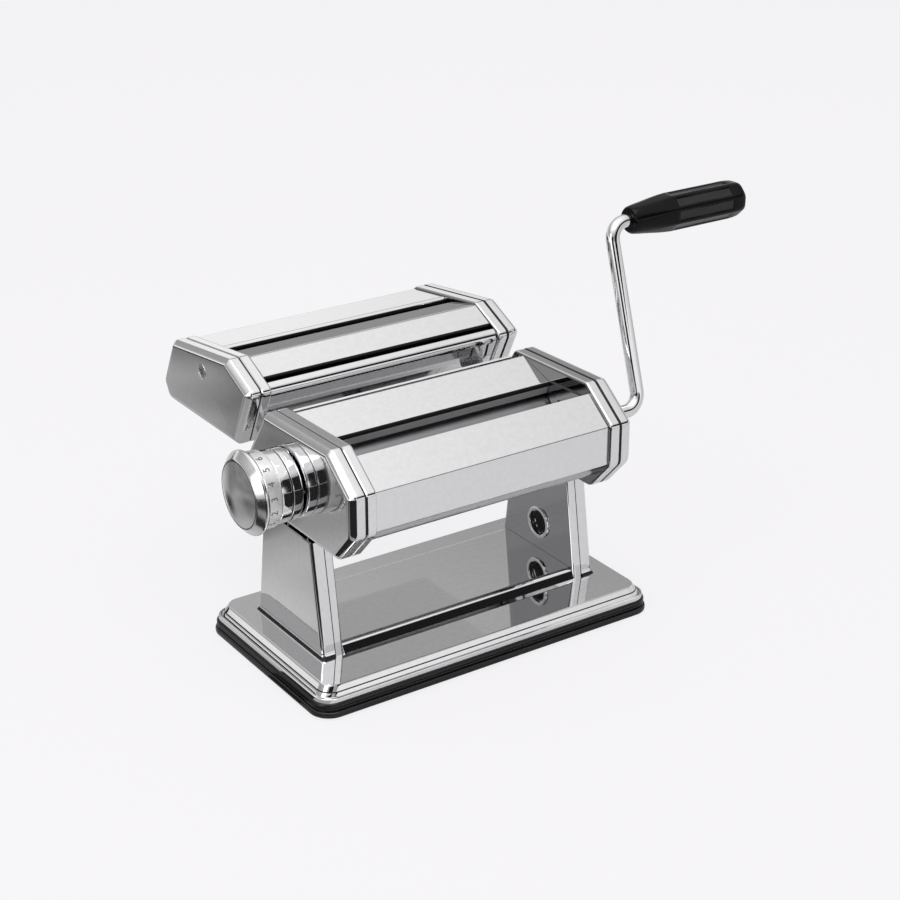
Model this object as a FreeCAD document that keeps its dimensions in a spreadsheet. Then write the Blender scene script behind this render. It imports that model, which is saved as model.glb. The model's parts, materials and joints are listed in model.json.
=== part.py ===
import FreeCAD, Part
import math
import os
import Sketcher

Vector = FreeCAD.Vector
Rotation = FreeCAD.Rotation
Placement = FreeCAD.Placement

# Driving sizes in millimetres, and angles in degrees. X runs to the crank side,
# Y to the cutter side, and heights called "rise" are above the top of the stand.
SIZES = (
    ("feedWidth", 150.0, "clear width between the two side frames"),
    ("webSheet", 2.5, "side frame web"),
    ("flangeDepth", 6.4, "side frame depth, web and rim"),
    ("flangeWall", 2.2, "side frame rim"),
    ("capDepth", 9.2, "cheek cap depth outside the side frame"),
    ("capWall", 3.0, "cheek cap wall round its edge"),
    ("capFace", 1.8, "cheek cap outer face"),
    ("capChamfer", 2.8, "chamfer round the cap's outer face"),
    ("seamChamfer", 0.8, "half of the groove between frame and cap"),
    ("beadRound", 1.4, "rounded inner edge of a side frame"),
    ("sheet", 1.2, "cover and stand sheet"),
    ("coverInset", 2.2, "covers lie this far inside the main outline"),
    ("cutterInset", 1.2, "covers lie this far inside the cutter outline"),
    ("runningFit", 0.05, "radial clearance of a turning shaft"),
    ("slideGap", 0.3, "clearance between pieces that pass each other"),
    ("footReach", 36.0, "black foot beyond the feed width at each end"),
    ("footWidth", 126.0, "black foot along Y"),
    ("footCorner", 12.0, "black foot corner radius"),
    ("footHeight", 9.0, "black foot top above the table"),
    ("footWall", 4.0, "black foot wall and top"),
    ("footRise", 0.8, "black foot underside above the table"),
    ("padRadius", 7.0, "rubber pad radius"),
    ("padInset", 20.0, "rubber pad centre from the foot's edges"),
    ("lipMargin", 2.0, "tray lip inside the foot edge"),
    ("lipHeight", 2.5, "tray lip height"),
    ("bevelMargin", 4.0, "tray bevel foot inside the foot edge"),
    ("trayMarginX", 8.0, "tray flat inside the foot edge along X"),
    ("trayMarginY", 6.0, "tray flat inside the foot edge along Y"),
    ("trayTop", 17.0, "tray flat above the table"),
    ("plateauRise", 5.5, "stand floor above the tray flat"),
    ("standTop", 82.0, "top of the legs above the table"),
    ("legFrontTop", 21.0, "leg front edge at the top, in front of centre"),
    ("legFrontFoot", 31.0, "leg front edge at the tray"),
    ("legBackTop", 30.5, "leg back edge at the top, behind centre"),
    ("legBackFoot", 39.5, "leg back edge at the tray"),
    ("legSeam", 5.3, "seam of a leg's two channels, from its inner face"),
    ("seamGap", 0.5, "gap between a leg's two channels"),
    ("legBend", 2.4, "outer bend radius of a leg"),
    ("plateauRun", 3.0, "run of the stand floor's sloped edges"),
    ("floorBend", 4.0, "bend radius of the stand floor edges"),
    ("tabRise", 8.0, "stand tab behind the side frame"),
    ("clampY", 3.8, "clamp bore centre behind centre"),
    ("clampHeight", 39.3, "clamp bore centre above the table"),
    ("clampBore", 7.5, "clamp bore radius"),
    ("grommetWall", 1.0, "clamp grommet wall"),
    ("grommetFlange", 2.4, "clamp grommet rim width"),
    ("cheekTopBackY", 27.0, "cheek top back corner"),
    ("cheekTopBackRise", 58.2, ""),
    ("cheekTopFrontY", 40.0, "cheek top front corner, in front of centre"),
    ("cheekTopFrontRise", 60.2, ""),
    ("cheekNoseY", 63.5, "cheek front face, in front of centre"),
    ("cheekNoseTopRise", 42.4, "top of the cheek front face"),
    ("cheekNoseFootRise", 19.0, "foot of the cheek front face"),
    ("cheekChinY", 46.0, "cheek chin, in front of centre"),
    ("cheekBackY", 45.5, "cheek back land"),
    ("cheekBackTopRise", 31.0, ""),
    ("cheekBackFootRise", 19.0, ""),
    ("cheekRound", 4.0, "cheek corner radius"),
    ("chinRound", 7.0, "cheek nose and chin radius"),
    ("axisRise", 28.5, "roller axes above the stand"),
    ("rollerRadius", 12.5, "dough roller radius"),
    ("rollerGap", 0.6, "closest setting between the rollers"),
    ("rollerEnd", 0.4, "roller end clearance"),
    ("rearRollerY", 0.4, "rear roller axis at the closest setting"),
    ("journalRadius", 6.0, "driven journal radius"),
    ("bushWall", 2.0, "bush wall"),
    ("bushFlange", 1.5, "bush flange"),
    ("socketSide", 6.2, "square drive socket across flats"),
    ("socketDepth", 14.0, "square drive socket depth"),
    ("gearWidth", 6.5, "roller gear width"),
    ("eccentric", 1.45, "eccentric throw of the adjuster axle"),
    ("dialTurn", 120.0, "turn of the adjuster dial"),
    ("axleRadius", 5.0, "adjuster axle journal radius"),
    ("eccentricRadius", 6.8, "adjuster axle middle radius"),
    ("sleeveGap", 0.6, "play between the axle and the roller sleeves"),
    ("sleeveWall", 1.9, "roller sleeve wall"),
    ("sleeveLength", 14.0, "roller sleeve length"),
    ("rearJournal", 8.6, "rear roller gear journal radius"),
    ("rearJournalBore", 7.0, "rear roller gear journal bore"),
    ("knobBodyRadius", 20.2, "knob body radius"),
    ("knobBodyLength", 13.5, "knob body length"),
    ("knobGap", 0.8, "knob clear of the cheek"),
    ("dialRadius", 21.2, "number ring radius"),
    ("dialLength", 8.0, "number ring length"),
    ("knobCapRadius", 23.2, "knob cap rim radius"),
    ("knobCapRim", 3.2, "knob cap rim length"),
    ("knobCapCone", 5.3, "knob cap cone length"),
    ("knobFaceRadius", 18.0, "knob cap face radius"),
    ("knobDome", 1.2, "knob cap dome"),
    ("hexFlats", 8.0, "axle hexagon across flats"),
    ("knobPull", 4.5, "knob pull to free the dial"),
    ("detentRing", 15.5, "detent pin circle radius"),
    ("detentRadius", 1.5, "detent pin radius"),
    ("detentLength", 3.0, "detent pin stand-out"),
    ("armPlane", 35.4, "crank arm outside the cheek face"),
    ("armLength", 106.0, "crank arm between its two axes"),
    ("armLean", 17.6, "crank arm lean to the back"),
    ("rodRadius", 4.0, "crank rod radius"),
    ("rodBend", 10.0, "crank rod bend radius"),
    ("spindleRadius", 3.0, "grip spindle radius"),
    ("gripStart", 13.0, "grip start outside the arm plane"),
    ("gripLength", 82.0, "grip length"),
    ("gripNeck", 8.8, "grip radius at the rod"),
    ("gripBelly", 11.2, "grip radius at the far end"),
    ("cutterTopFrontY", 67.0, "cutter cheek top front corner"),
    ("cutterTopFrontRise", 75.0, ""),
    ("cutterBrowY", 41.0, "cutter cheek front corner"),
    ("cutterBrowRise", 62.8, ""),
    ("cutterFootFrontY", 58.3, "cutter cheek bottom front corner"),
    ("cutterFootRise", 27.3, "cutter cheek underside"),
    ("cutterFootBackY", 140.0, "cutter cheek bottom back corner"),
    ("cutterBackY", 146.5, "cutter cheek back corner"),
    ("cutterBackRise", 38.5, ""),
    ("cutterTopBackY", 132.5, "cutter cheek top back corner"),
    ("cutterTopBackRise", 66.2, ""),
    ("cutterRound", 7.0, "cutter cheek lower corner radius"),
    ("wideSlotY", 89.0, "wide cutter slot"),
    ("narrowSlotY", 48.9, "narrow cutter slot"),
    ("slotWidth", 3.0, "cutter slot width"),
    ("slotDrop", 1.1, "middle cover below the back cover at the wide slot"),
    ("cutterAxisRise", 45.0, "cutter axes above the stand"),
    ("narrowAxisY", 65.0, "narrow cutter drive axis"),
    ("wideAxisY", 118.2, "wide cutter drive axis"),
    ("discRadius", 9.0, "cutter disc radius"),
    ("coreRadius", 7.2, "cutter core radius"),
    ("discOverlap", 0.8, "cutter discs pass each other by this much"),
    ("wideStrip", 6.5, "wide strip width"),
    ("narrowStrip", 2.0, "narrow strip width"),
    ("discPlay", 0.2, "side play of a disc in its groove"),
    ("rodTieRadius", 4.0, "tie rod radius"),
    ("screwRadius", 2.0, "tie screw shank radius"),
    ("screwHead", 3.6, "tie screw head radius"),
    ("capScrewY", 94.5, "cutter cap screw"),
    ("capScrewRise", 59.4, ""),
    ("hookSheet", 2.2, "cutter hook plate"),
    ("hookPinRadius", 2.5, "hook pin radius"),
    ("hookPinY", 36.0, "hook pins behind centre"),
    ("hookPinTopRise", 31.0, "upper hook pin"),
    ("hookPinFootRise", 20.0, "lower hook pin"),
)

doc = FreeCAD.newDocument("PastaRoller")
sheet = doc.addObject("Spreadsheet::Sheet", "Sheet")


# A number together with the spreadsheet expression that gives it
class Size:
    def __init__(self, value, text):
        self.value = float(value)
        self.text = text

    def __add__(self, other):
        other = size(other)
        return Size(self.value + other.value, f"({self.text} + {other.text})")

    def __sub__(self, other):
        other = size(other)
        return Size(self.value - other.value, f"({self.text} - {other.text})")

    def __mul__(self, other):
        other = size(other)
        return Size(self.value * other.value, f"({self.text} * {other.text})")

    def __truediv__(self, other):
        other = size(other)
        return Size(self.value / other.value, f"({self.text} / {other.text})")

    def __neg__(self):
        return Size(-self.value, f"(-1 * {self.text})")

    def __radd__(self, other):
        return size(other) + self

    def __rsub__(self, other):
        return size(other) - self

    def __rmul__(self, other):
        return size(other) * self


def size(number):
    if isinstance(number, Size):
        return number
    return Size(number, f"({number:.6f})")


class Sheet:
    pass


s = Sheet()
for row, (alias, value, note) in enumerate(SIZES, 1):
    sheet.set(f"A{row}", note)
    sheet.set(f"B{row}", str(value))
    sheet.setAlias(f"B{row}", alias)
    setattr(s, alias, Size(value, f"Sheet.{alias}"))

# The black foot's length along X follows the feed width
last = len(SIZES) + 1
sheet.set(f"A{last}", "black foot along X")
sheet.set(f"B{last}", "=feedWidth + 2 * footReach")
sheet.setAlias(f"B{last}", "footLength")
s.footLength = Size(s.feedWidth.value + 2 * s.footReach.value, "Sheet.footLength")
doc.recompute()

parts = []
ZERO = size(0)
SIDES = (("left", -1), ("right", 1))


def bind(item, prop, value):
    item.setExpression(prop, size(value).text)


def new_body(label):
    body = doc.addObject("PartDesign::Body", label)
    body.Label = label
    parts.append(body)
    return body


def place(item, x=0, y=0, z=0, turn=None):
    spot = [size(v) for v in (x, y, z)]
    rotation = Rotation(Vector(1, 0, 0), turn.value) if turn else Rotation()
    item.Placement = Placement(Vector(*[v.value for v in spot]), rotation)
    for axis, value in zip("xyz", spot):
        bind(item, f"Placement.Base.{axis}", value)
    if turn:
        bind(item, "Placement.Rotation.Angle", turn)


def new_sketch(body, role, offset):
    offset = size(offset)
    plane = [f for f in body.Origin.OriginFeatures if f.Role == role][0]
    sketch = body.newObject("Sketcher::SketchObject", f"{body.Name}_sketch")
    sketch.AttachmentSupport = (plane, "")
    sketch.MapMode = "FlatFace"
    sketch.AttachmentOffset = Placement(Vector(0, 0, offset.value), Rotation())
    bind(sketch, "AttachmentOffset.Base.z", offset)
    return sketch


def pin_point(sketch, geometry, point, spot):
    for kind, value in zip(("DistanceX", "DistanceY"), spot):
        value = size(value)
        number = sketch.addConstraint(Sketcher.Constraint(kind, -1, 1, geometry, point, value.value))
        bind(sketch, f"Constraints[{number}]", value)


def draw_loop(sketch, points):
    points = [(size(u), size(v)) for u, v in points]
    first = sketch.GeometryCount
    count = len(points)
    for number, (u, v) in enumerate(points):
        after = points[(number + 1) % count]
        line = Part.LineSegment(Vector(u.value, v.value, 0), Vector(after[0].value, after[1].value, 0))
        sketch.addGeometry(line, False)
    for number in range(count):
        joint = (first + number, 2, first + (number + 1) % count, 1)
        sketch.addConstraint(Sketcher.Constraint("Coincident", *joint))
    for number, spot in enumerate(points):
        pin_point(sketch, first + number, 1, spot)


def draw_circle(sketch, u, v, radius):
    u, v, radius = size(u), size(v), size(radius)
    circle = Part.Circle(Vector(u.value, v.value, 0), Vector(0, 0, 1), radius.value)
    number = sketch.addGeometry(circle, False)
    pin_point(sketch, number, 3, (u, v))
    datum = sketch.addConstraint(Sketcher.Constraint("Radius", number, radius.value))
    bind(sketch, f"Constraints[{datum}]", radius)


def pad(body, sketch, length):
    feature = body.newObject("PartDesign::Pad", f"{body.Name}_pad")
    feature.Profile = sketch
    feature.Length = size(length).value
    bind(feature, "Length", length)
    doc.recompute()
    return feature


def pocket(body, sketch, length):
    before = body.Tip.Shape.Volume
    feature = body.newObject("PartDesign::Pocket", f"{body.Name}_pocket")
    feature.Profile = sketch
    feature.Length = size(length).value
    bind(feature, "Length", length)
    doc.recompute()
    if feature.Shape.isNull() or feature.Shape.Volume > before - 1e-6:
        raise RuntimeError(f"a pocket of {body.Label} cuts nothing")
    return feature


# Slabs and holes along X: the outline lies in the YZ plane and runs from x0 to x1
def slab(body, points, x0, x1):
    sketch = new_sketch(body, "YZ_Plane", x0)
    draw_loop(sketch, points)
    return pad(body, sketch, size(x1) - x0)


def slab_cut(body, points, x0, x1):
    sketch = new_sketch(body, "YZ_Plane", x1)
    draw_loop(sketch, points)
    return pocket(body, sketch, size(x1) - x0)


def boss(body, y, z, radius, x0, x1):
    sketch = new_sketch(body, "YZ_Plane", x0)
    draw_circle(sketch, y, z, radius)
    return pad(body, sketch, size(x1) - x0)


def bore(body, y, z, radius, x0, x1):
    sketch = new_sketch(body, "YZ_Plane", x1)
    draw_circle(sketch, y, z, radius)
    return pocket(body, sketch, size(x1) - x0)


def span(side, near, far):
    near, far = size(near), size(far)
    return (near, far) if side > 0 else (-far, -near)


def round_edges(body, kind, names, radius):
    feature = body.newObject(f"PartDesign::{kind}", f"{body.Name}_{kind.lower()}")
    feature.Base = (body.Tip if body.Tip != feature else feature.BaseFeature, names)
    prop = "Radius" if kind == "Fillet" else "Size"
    setattr(feature, prop, size(radius).value)
    bind(feature, prop, radius)
    doc.recompute()
    return feature


# Names of the edges whose both ends pass a test on their points
def edge_names(body, test):
    names = []
    for number, edge in enumerate(body.Tip.Shape.Edges, 1):
        if all(test(vertex.Point) for vertex in edge.Vertexes):
            names.append(f"Edge{number}")
    return names


def near(value, target):
    return abs(value - size(target).value) < 1e-4


def round_corners(body, points, radius):
    for y, z in points:
        names = edge_names(body, lambda p: near(p.y, y) and near(p.z, z))
        round_edges(body, "Fillet", names, radius)


# Points of a closed outline moved inwards, or of an open path moved to its left, by a wall
def moved(points, wall, closed=True):
    points = [(size(u), size(v)) for u, v in points]
    count = len(points)
    result = []
    for number, (u, v) in enumerate(points):
        legs = []
        for a, b in ((number - 1, number), (number, number + 1)):
            if not closed and (a < 0 or b >= count):
                continue
            start, end = points[a % count], points[b % count]
            run = Vector(end[0].value - start[0].value, end[1].value - start[1].value, 0)
            run.normalize()
            legs.append(Vector(-run.y, run.x, 0))
        step = legs[0]
        if len(legs) == 2:
            step = (legs[0] + legs[1]) * (1 / (1 + legs[0].dot(legs[1])))
        result.append((u + step.x * wall, v + step.y * wall))
    return result


def sheet_loop(path, thickness):
    return path + moved(path, thickness, closed=False)[::-1]


def turned(label, profiles, y, z, turn=None):
    body = new_body(label)
    sketch = new_sketch(body, "XY_Plane", 0)
    for profile in profiles if isinstance(profiles[0], list) else [profiles]:
        draw_loop(sketch, profile)
    feature = body.newObject("PartDesign::Revolution", f"{label}_turn")
    feature.Profile = sketch
    feature.ReferenceAxis = (sketch, ["H_Axis"])
    feature.Angle = 360
    place(body, 0, y, z, turn)
    doc.recompute()
    return body


def group(label, shapes):
    item = doc.addObject("Part::Feature", label)
    item.Label = label
    item.Shape = Part.makeCompound(shapes)
    item.Placement = Placement()
    parts.append(item)
    return item


def rod_shape(x0, x1, y, z, radius):
    start = Vector(min(x0, x1), y, z)
    return Part.makeCylinder(radius, abs(x1 - x0), start, Vector(1, 0, 0))


def stepped_pin(side, y, z, steps):
    y, z = size(y).value, size(z).value
    pieces = [rod_shape(side * size(a).value, side * size(b).value, y, z, size(r).value) for a, b, r in steps]
    return pieces[0].multiFuse(pieces[1:]).removeSplitter()


# Common planes and axes
half = s.feedWidth / 2
webOut = half + s.webSheet
frameOut = half + s.flangeDepth
capOut = frameOut + s.capDepth
capIn = capOut - s.capFace
axisZ = s.standTop + s.axisRise
spacing = 2 * s.rollerRadius + s.rollerGap
frontRollerY = s.rearRollerY - spacing
halfTurn = math.radians(s.dialTurn.value / 2)
travel = 2 * s.eccentric * math.sin(halfTurn)
dialY = s.rearRollerY + s.eccentric * math.sin(halfTurn)
dialZ = axisZ - s.eccentric * ((1 + math.cos(halfTurn)) / 2)
cutterZ = s.standTop + s.cutterAxisRise
cutterSpacing = 2 * s.discRadius - s.discOverlap


def rise(height):
    return s.standTop + height


# Outlines of the cheeks in the YZ plane, anticlockwise seen from +X
mainOutline = [
    (s.cheekTopBackY, rise(s.cheekTopBackRise)),
    (-s.cheekTopFrontY, rise(s.cheekTopFrontRise)),
    (-s.cheekNoseY, rise(s.cheekNoseTopRise)),
    (-s.cheekNoseY, rise(s.cheekNoseFootRise)),
    (-s.cheekChinY, s.standTop),
    (s.legBackTop, s.standTop),
    (s.cheekBackY, rise(s.cheekBackFootRise)),
    (s.cheekBackY, rise(s.cheekBackTopRise)),
]
cutterOutline = [
    (s.cutterTopBackY, rise(s.cutterTopBackRise)),
    (s.cutterTopFrontY, rise(s.cutterTopFrontRise)),
    (s.cutterBrowY, rise(s.cutterBrowRise)),
    (s.cutterFootFrontY, rise(s.cutterFootRise)),
    (s.cutterFootBackY, rise(s.cutterFootRise)),
    (s.cutterBackY, rise(s.cutterBackRise)),
]
mainCover = moved(mainOutline, s.coverInset)
cutterCover = moved(cutterOutline, s.cutterInset)


# Foot, pads and tray
def rounded_slab(body, half_x, half_y, radius, z0, z1):
    sketch = new_sketch(body, "XY_Plane", z0)
    corners = [(-half_x, -half_y), (half_x, -half_y), (half_x, half_y), (-half_x, half_y)]
    draw_loop(sketch, corners)
    feature = pad(body, sketch, size(z1) - z0)
    for x, y in corners:
        names = edge_names(body, lambda p: near(p.x, x) and near(p.y, y))
        round_edges(body, "Fillet", names, radius)
    return feature


footX = s.footLength / 2
footY = s.footWidth / 2
padSpots = [(sx * (footX - s.padInset), sy * (footY - s.padInset)) for sx in (-1, 1) for sy in (-1, 1)]
padSpots.append((ZERO, ZERO))


def make_foot():
    body = new_body("base_foot")
    rounded_slab(body, footX, footY, s.footCorner, s.footRise, s.footHeight)
    top = s.footHeight.value
    names = edge_names(body, lambda p: near(p.z, top))
    round_edges(body, "Fillet", names, 1.2)
    sketch = new_sketch(body, "XY_Plane", s.footHeight - s.footWall)
    inX = footX - s.footWall
    inY = footY - s.footWall
    draw_rounded(sketch, inX, inY, s.footCorner - s.footWall)
    pocket(body, sketch, s.footHeight - s.footWall - s.footRise)
    for x, y in padSpots:
        sketch = new_sketch(body, "XY_Plane", s.footRise)
        draw_circle(sketch, x, y, s.padRadius)
        pad(body, sketch, s.footHeight - s.footWall - s.footRise)


def make_pads():
    pads = [
        Part.makeCylinder(s.padRadius.value, s.footRise.value, Vector(x.value, y.value, 0))
        for x, y in padSpots
    ]
    group("rubber_pads", pads)


def make_tray():
    body = new_body("base_tray")
    lipX = footX - s.lipMargin
    lipY = footY - s.lipMargin
    lipTop = s.footHeight + s.lipHeight
    rounded_slab(body, lipX, lipY, s.footCorner - s.lipMargin, s.footHeight, lipTop)
    names = edge_names(body, lambda p: near(p.z, lipTop))
    round_edges(body, "Fillet", names, 0.8)
    levels = ((lipTop, s.bevelMargin, s.bevelMargin), (s.trayTop, s.trayMarginX, s.trayMarginY))
    rings = []
    for level, marginX, marginY in levels:
        sketch = new_sketch(body, "XY_Plane", level)
        draw_rounded(sketch, footX - marginX, footY - marginY, s.footCorner - marginX * 0.5)
        rings.append(sketch)
    loft = body.newObject("PartDesign::AdditiveLoft", "tray_bevel")
    loft.Profile = rings[0]
    loft.Sections = [rings[1]]
    doc.recompute()
    names = edge_names(body, lambda p: near(p.z, s.trayTop))
    round_edges(body, "Fillet", names, 0.7)
    sketch = new_sketch(body, "XY_Plane", s.trayTop - s.sheet)
    inX = footX - s.trayMarginX - 2 * s.sheet
    inY = footY - s.trayMarginY - 2 * s.sheet
    draw_rounded(sketch, inX, inY, s.footCorner - s.trayMarginX * 0.5 - 2 * s.sheet)
    pocket(body, sketch, s.trayTop - s.sheet - s.footHeight)


def draw_rounded(sketch, half_x, half_y, radius):
    first = sketch.GeometryCount
    signs = ((1, -1), (1, 1), (-1, 1), (-1, -1))
    starts = (-90, 0, 90, 180)
    flat_x = half_x - radius
    flat_y = half_y - radius
    ends = []
    for (sx, sy), start in zip(signs, starts):
        low, high = math.radians(start), math.radians(start + 90)
        centre = Vector(sx * flat_x.value, sy * flat_y.value, 0)
        arc = Part.ArcOfCircle(Part.Circle(centre, Vector(0, 0, 1), radius.value), low, high)
        sketch.addGeometry(arc, False)
        on_x = (sx * flat_x, sy * half_y)
        on_y = (sx * half_x, sy * flat_y)
        ends.append((on_x, on_y) if start in (-90, 90) else (on_y, on_x))
    for number in range(4):
        head = ends[(number + 1) % 4][0]
        tail = ends[number][1]
        line = Part.LineSegment(
            Vector(tail[0].value, tail[1].value, 0), Vector(head[0].value, head[1].value, 0)
        )
        sketch.addGeometry(line, False)
    for number in range(4):
        arc, line, after = first + number, first + 4 + number, first + (number + 1) % 4
        pin_point(sketch, line, 1, ends[number][1])
        pin_point(sketch, line, 2, ends[(number + 1) % 4][0])
        sketch.addConstraint(Sketcher.Constraint("Coincident", arc, 2, line, 1))
        sketch.addConstraint(Sketcher.Constraint("Coincident", line, 2, after, 1))
        datum = sketch.addConstraint(Sketcher.Constraint("Radius", arc, radius.value))
        bind(sketch, f"Constraints[{datum}]", radius)


# Stand: one bent saddle between two outer leg shells
legIn = webOut
legOut = capOut
seam = legIn + s.legSeam
legOutline = [
    (s.legBackTop, s.standTop),
    (-s.legFrontTop, s.standTop),
    (-s.legFrontFoot, s.trayTop),
    (s.legBackFoot, s.trayTop),
]


def leg_hollow():
    front, back = [], []
    for low, high, sign in ((-s.legFrontFoot, -s.legFrontTop, 1), (s.legBackFoot, s.legBackTop, -1)):
        lean = (high - low) / (s.standTop - s.trayTop)
        spill = 5
        edge = [(low - lean * spill + sign * s.sheet, s.trayTop - spill)]
        edge.append((high + lean * spill + sign * s.sheet, s.standTop + spill))
        (front if sign > 0 else back).extend(edge)
    return [back[1], front[1], front[0], back[0]]


def make_saddle():
    body = new_body("stand_saddle")
    floorTop = s.trayTop + s.plateauRise
    path = [
        (s.legBackFoot, s.trayTop),
        (s.legBackFoot - s.plateauRun, floorTop),
        (-s.legFrontFoot + s.plateauRun, floorTop),
        (-s.legFrontFoot, s.trayTop),
    ]
    loop = sheet_loop(path, s.sheet)
    loop[4] = (loop[4][0], s.trayTop)
    loop[7] = (loop[7][0], s.trayTop)
    slab(body, loop, -legIn, legIn)
    round_corners(body, [loop[1], loop[2]], s.floorBend)
    round_corners(body, [loop[5], loop[6]], s.floorBend - s.sheet)
    for _, side in SIDES:
        slab(body, legOutline, *span(side, legIn, seam - s.seamGap / 2))
        slab_cut(body, leg_hollow(), *span(side, legIn + s.sheet, seam - s.seamGap / 2))
        tab = [
            (s.legBackTop - 6, rise(s.tabRise)),
            (-s.legFrontTop + 6, rise(s.tabRise)),
            (-s.legFrontTop + 6, s.standTop),
            (s.legBackTop - 6, s.standTop),
        ]
        slab(body, tab, *span(side, legIn, legIn + s.sheet))
    bore(body, s.clampY, s.clampHeight, s.clampBore + s.grommetWall, legIn, legIn + s.sheet)


def make_leg_shell(name, side):
    body = new_body(f"leg_shell_{name}")
    slab(body, legOutline, *span(side, seam + s.seamGap / 2, legOut))
    outer = (side * legOut).value
    names = edge_names(body, lambda p: near(p.x, outer))
    edges = [n for n in names if abs(body.Tip.Shape.getElement(n).BoundBox.ZLength) > 1]
    round_edges(body, "Fillet", edges, s.legBend)
    slab_cut(body, leg_hollow(), *span(side, seam + s.seamGap / 2, legOut - s.sheet))
    if side > 0:
        bore(body, s.clampY, s.clampHeight, s.clampBore + s.grommetWall, legOut - s.sheet, legOut)


def make_grommet():
    sleeve = s.clampBore + s.grommetWall
    rim = s.clampBore + s.grommetFlange
    profile = [
        (legIn - s.sheet, s.clampBore),
        (legOut + 0.4, s.clampBore),
        (legOut + 0.4, sleeve),
        (legIn, sleeve),
        (legIn, rim),
        (legIn - s.sheet * 0.5, rim),
        (legIn - s.sheet, rim - s.sheet * 0.5),
    ]
    turned("clamp_grommet", profile, s.clampY, s.clampHeight)


# Side frames and cheek caps, shared by the roller body and the cutter unit
def make_frame(label, side, outline, rounds):
    body = new_body(label)
    slab(body, outline, *span(side, half, frameOut))
    for spots, radius in rounds:
        round_corners(body, [outline[n] for n in spots], radius)
    rim = (side * half).value
    round_edges(body, "Fillet", edge_names(body, lambda p: near(p.x, rim)), s.beadRound)
    lip = (side * frameOut).value
    round_edges(body, "Chamfer", edge_names(body, lambda p: near(p.x, lip)), s.seamChamfer)
    slab_cut(body, moved(outline, s.flangeWall), *span(side, webOut, frameOut))
    return body


def make_cap(label, side, outline, rounds):
    body = new_body(label)
    slab(body, outline, *span(side, frameOut, capOut))
    for spots, radius in rounds:
        round_corners(body, [outline[n] for n in spots], radius)
    face = (side * capOut).value
    round_edges(body, "Chamfer", edge_names(body, lambda p: near(p.x, face)), s.capChamfer)
    lip = (side * frameOut).value
    round_edges(body, "Chamfer", edge_names(body, lambda p: near(p.x, lip)), s.seamChamfer)
    slab_cut(body, moved(outline, s.capWall), *span(side, frameOut, capIn))
    return body


mainRounds = (((0, 1, 2), s.cheekRound), ((3, 4), s.chinRound), ((6, 7), s.cheekRound))
cutterRounds = (((0, 1, 2, 3), s.cheekRound), ((4, 5), s.cutterRound))
bushOut = s.journalRadius + s.bushWall
tieSpots = (
    (-s.cheekChinY, rise(s.cheekNoseFootRise) - s.sheet - s.coverInset - s.rodTieRadius - 0.2),
    (s.legBackTop - 1.5, rise(11)),
    (s.cheekTopBackY - 8, rise(s.cheekTopBackRise) - 14),
    (-s.cheekNoseY + 12, rise(s.cheekNoseTopRise) - 2),
)
hookPins = ((s.hookPinY, rise(s.hookPinTopRise)), (s.hookPinY, rise(s.hookPinFootRise)))
postRadius = 2 * s.screwRadius
postReach = s.axleRadius + s.bushWall + postRadius + 3.5
capScrewRadius = s.screwRadius * 0.8
capHead = s.screwHead * 0.9
capHeadDepth = s.capFace * 0.7
capPosts = {
    -1: ((dialY, dialZ + postReach), (dialY, dialZ - postReach)),
    1: ((-s.cheekNoseY + 11, axisZ), (s.cheekBackY - 15, axisZ - 1)),
}


def add_post(body, side, y, z):
    boss(body, y, z, postRadius, *span(side, webOut, capIn))
    bore(body, y, z, capScrewRadius, *span(side, webOut, capIn))


def add_screw_hole(cap, side, y, z):
    bore(cap, y, z, capScrewRadius, *span(side, capIn, capOut))
    bore(cap, y, z, capHead + 0.1, *span(side, capOut - capHeadDepth, capOut))


def make_main_sides():
    for name, side in SIDES:
        frame = make_frame(f"side_frame_{name}", side, mainOutline, mainRounds)
        slot = [
            (s.legBackTop - 5.7, rise(s.flangeWall + 1)),
            (-s.legFrontTop + 5.7, rise(s.flangeWall + 1)),
            (-s.legFrontTop + 5.7, rise(-1)),
            (s.legBackTop - 5.7, rise(-1)),
        ]
        slab_cut(frame, slot, *span(side, webOut, frameOut))
        for y, z in capPosts[side]:
            add_post(frame, side, y, z)
        bore(frame, frontRollerY, axisZ, bushOut, *span(side, half, webOut))
        for y, z in tieSpots + hookPins:
            bore(frame, y, z, s.screwRadius, *span(side, half, webOut))
        if side < 0:
            bore(frame, dialY, dialZ, s.axleRadius + s.bushWall, *span(side, half, webOut))
        else:
            reach = s.rearJournal + 0.8
            window = [
                (s.rearRollerY - reach, axisZ - reach),
                (s.rearRollerY + reach + travel, axisZ - reach),
                (s.rearRollerY + reach + travel, axisZ + reach),
                (s.rearRollerY - reach, axisZ + reach),
            ]
            slab_cut(frame, window, *span(side, half, webOut))
        cap = make_cap(f"cheek_cap_{name}", side, mainOutline, mainRounds)
        for y, z in capPosts[side]:
            add_screw_hole(cap, side, y, z)
        if side < 0:
            bore(cap, dialY, dialZ, s.hexFlats * 0.75, *span(side, capIn, capOut))
            bore(cap, dialY - s.detentRing, dialZ, s.detentRadius, *span(side, capIn, capOut))
        else:
            bore(cap, frontRollerY, axisZ, s.journalRadius + 1, *span(side, capIn, capOut))
            boss(cap, dialY, dialZ, s.axleRadius + s.bushWall, *span(side, capIn - 2.2, capIn))
            bore(cap, dialY, dialZ, s.axleRadius + s.runningFit, *span(side, capIn - 2.2, capIn))


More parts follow.
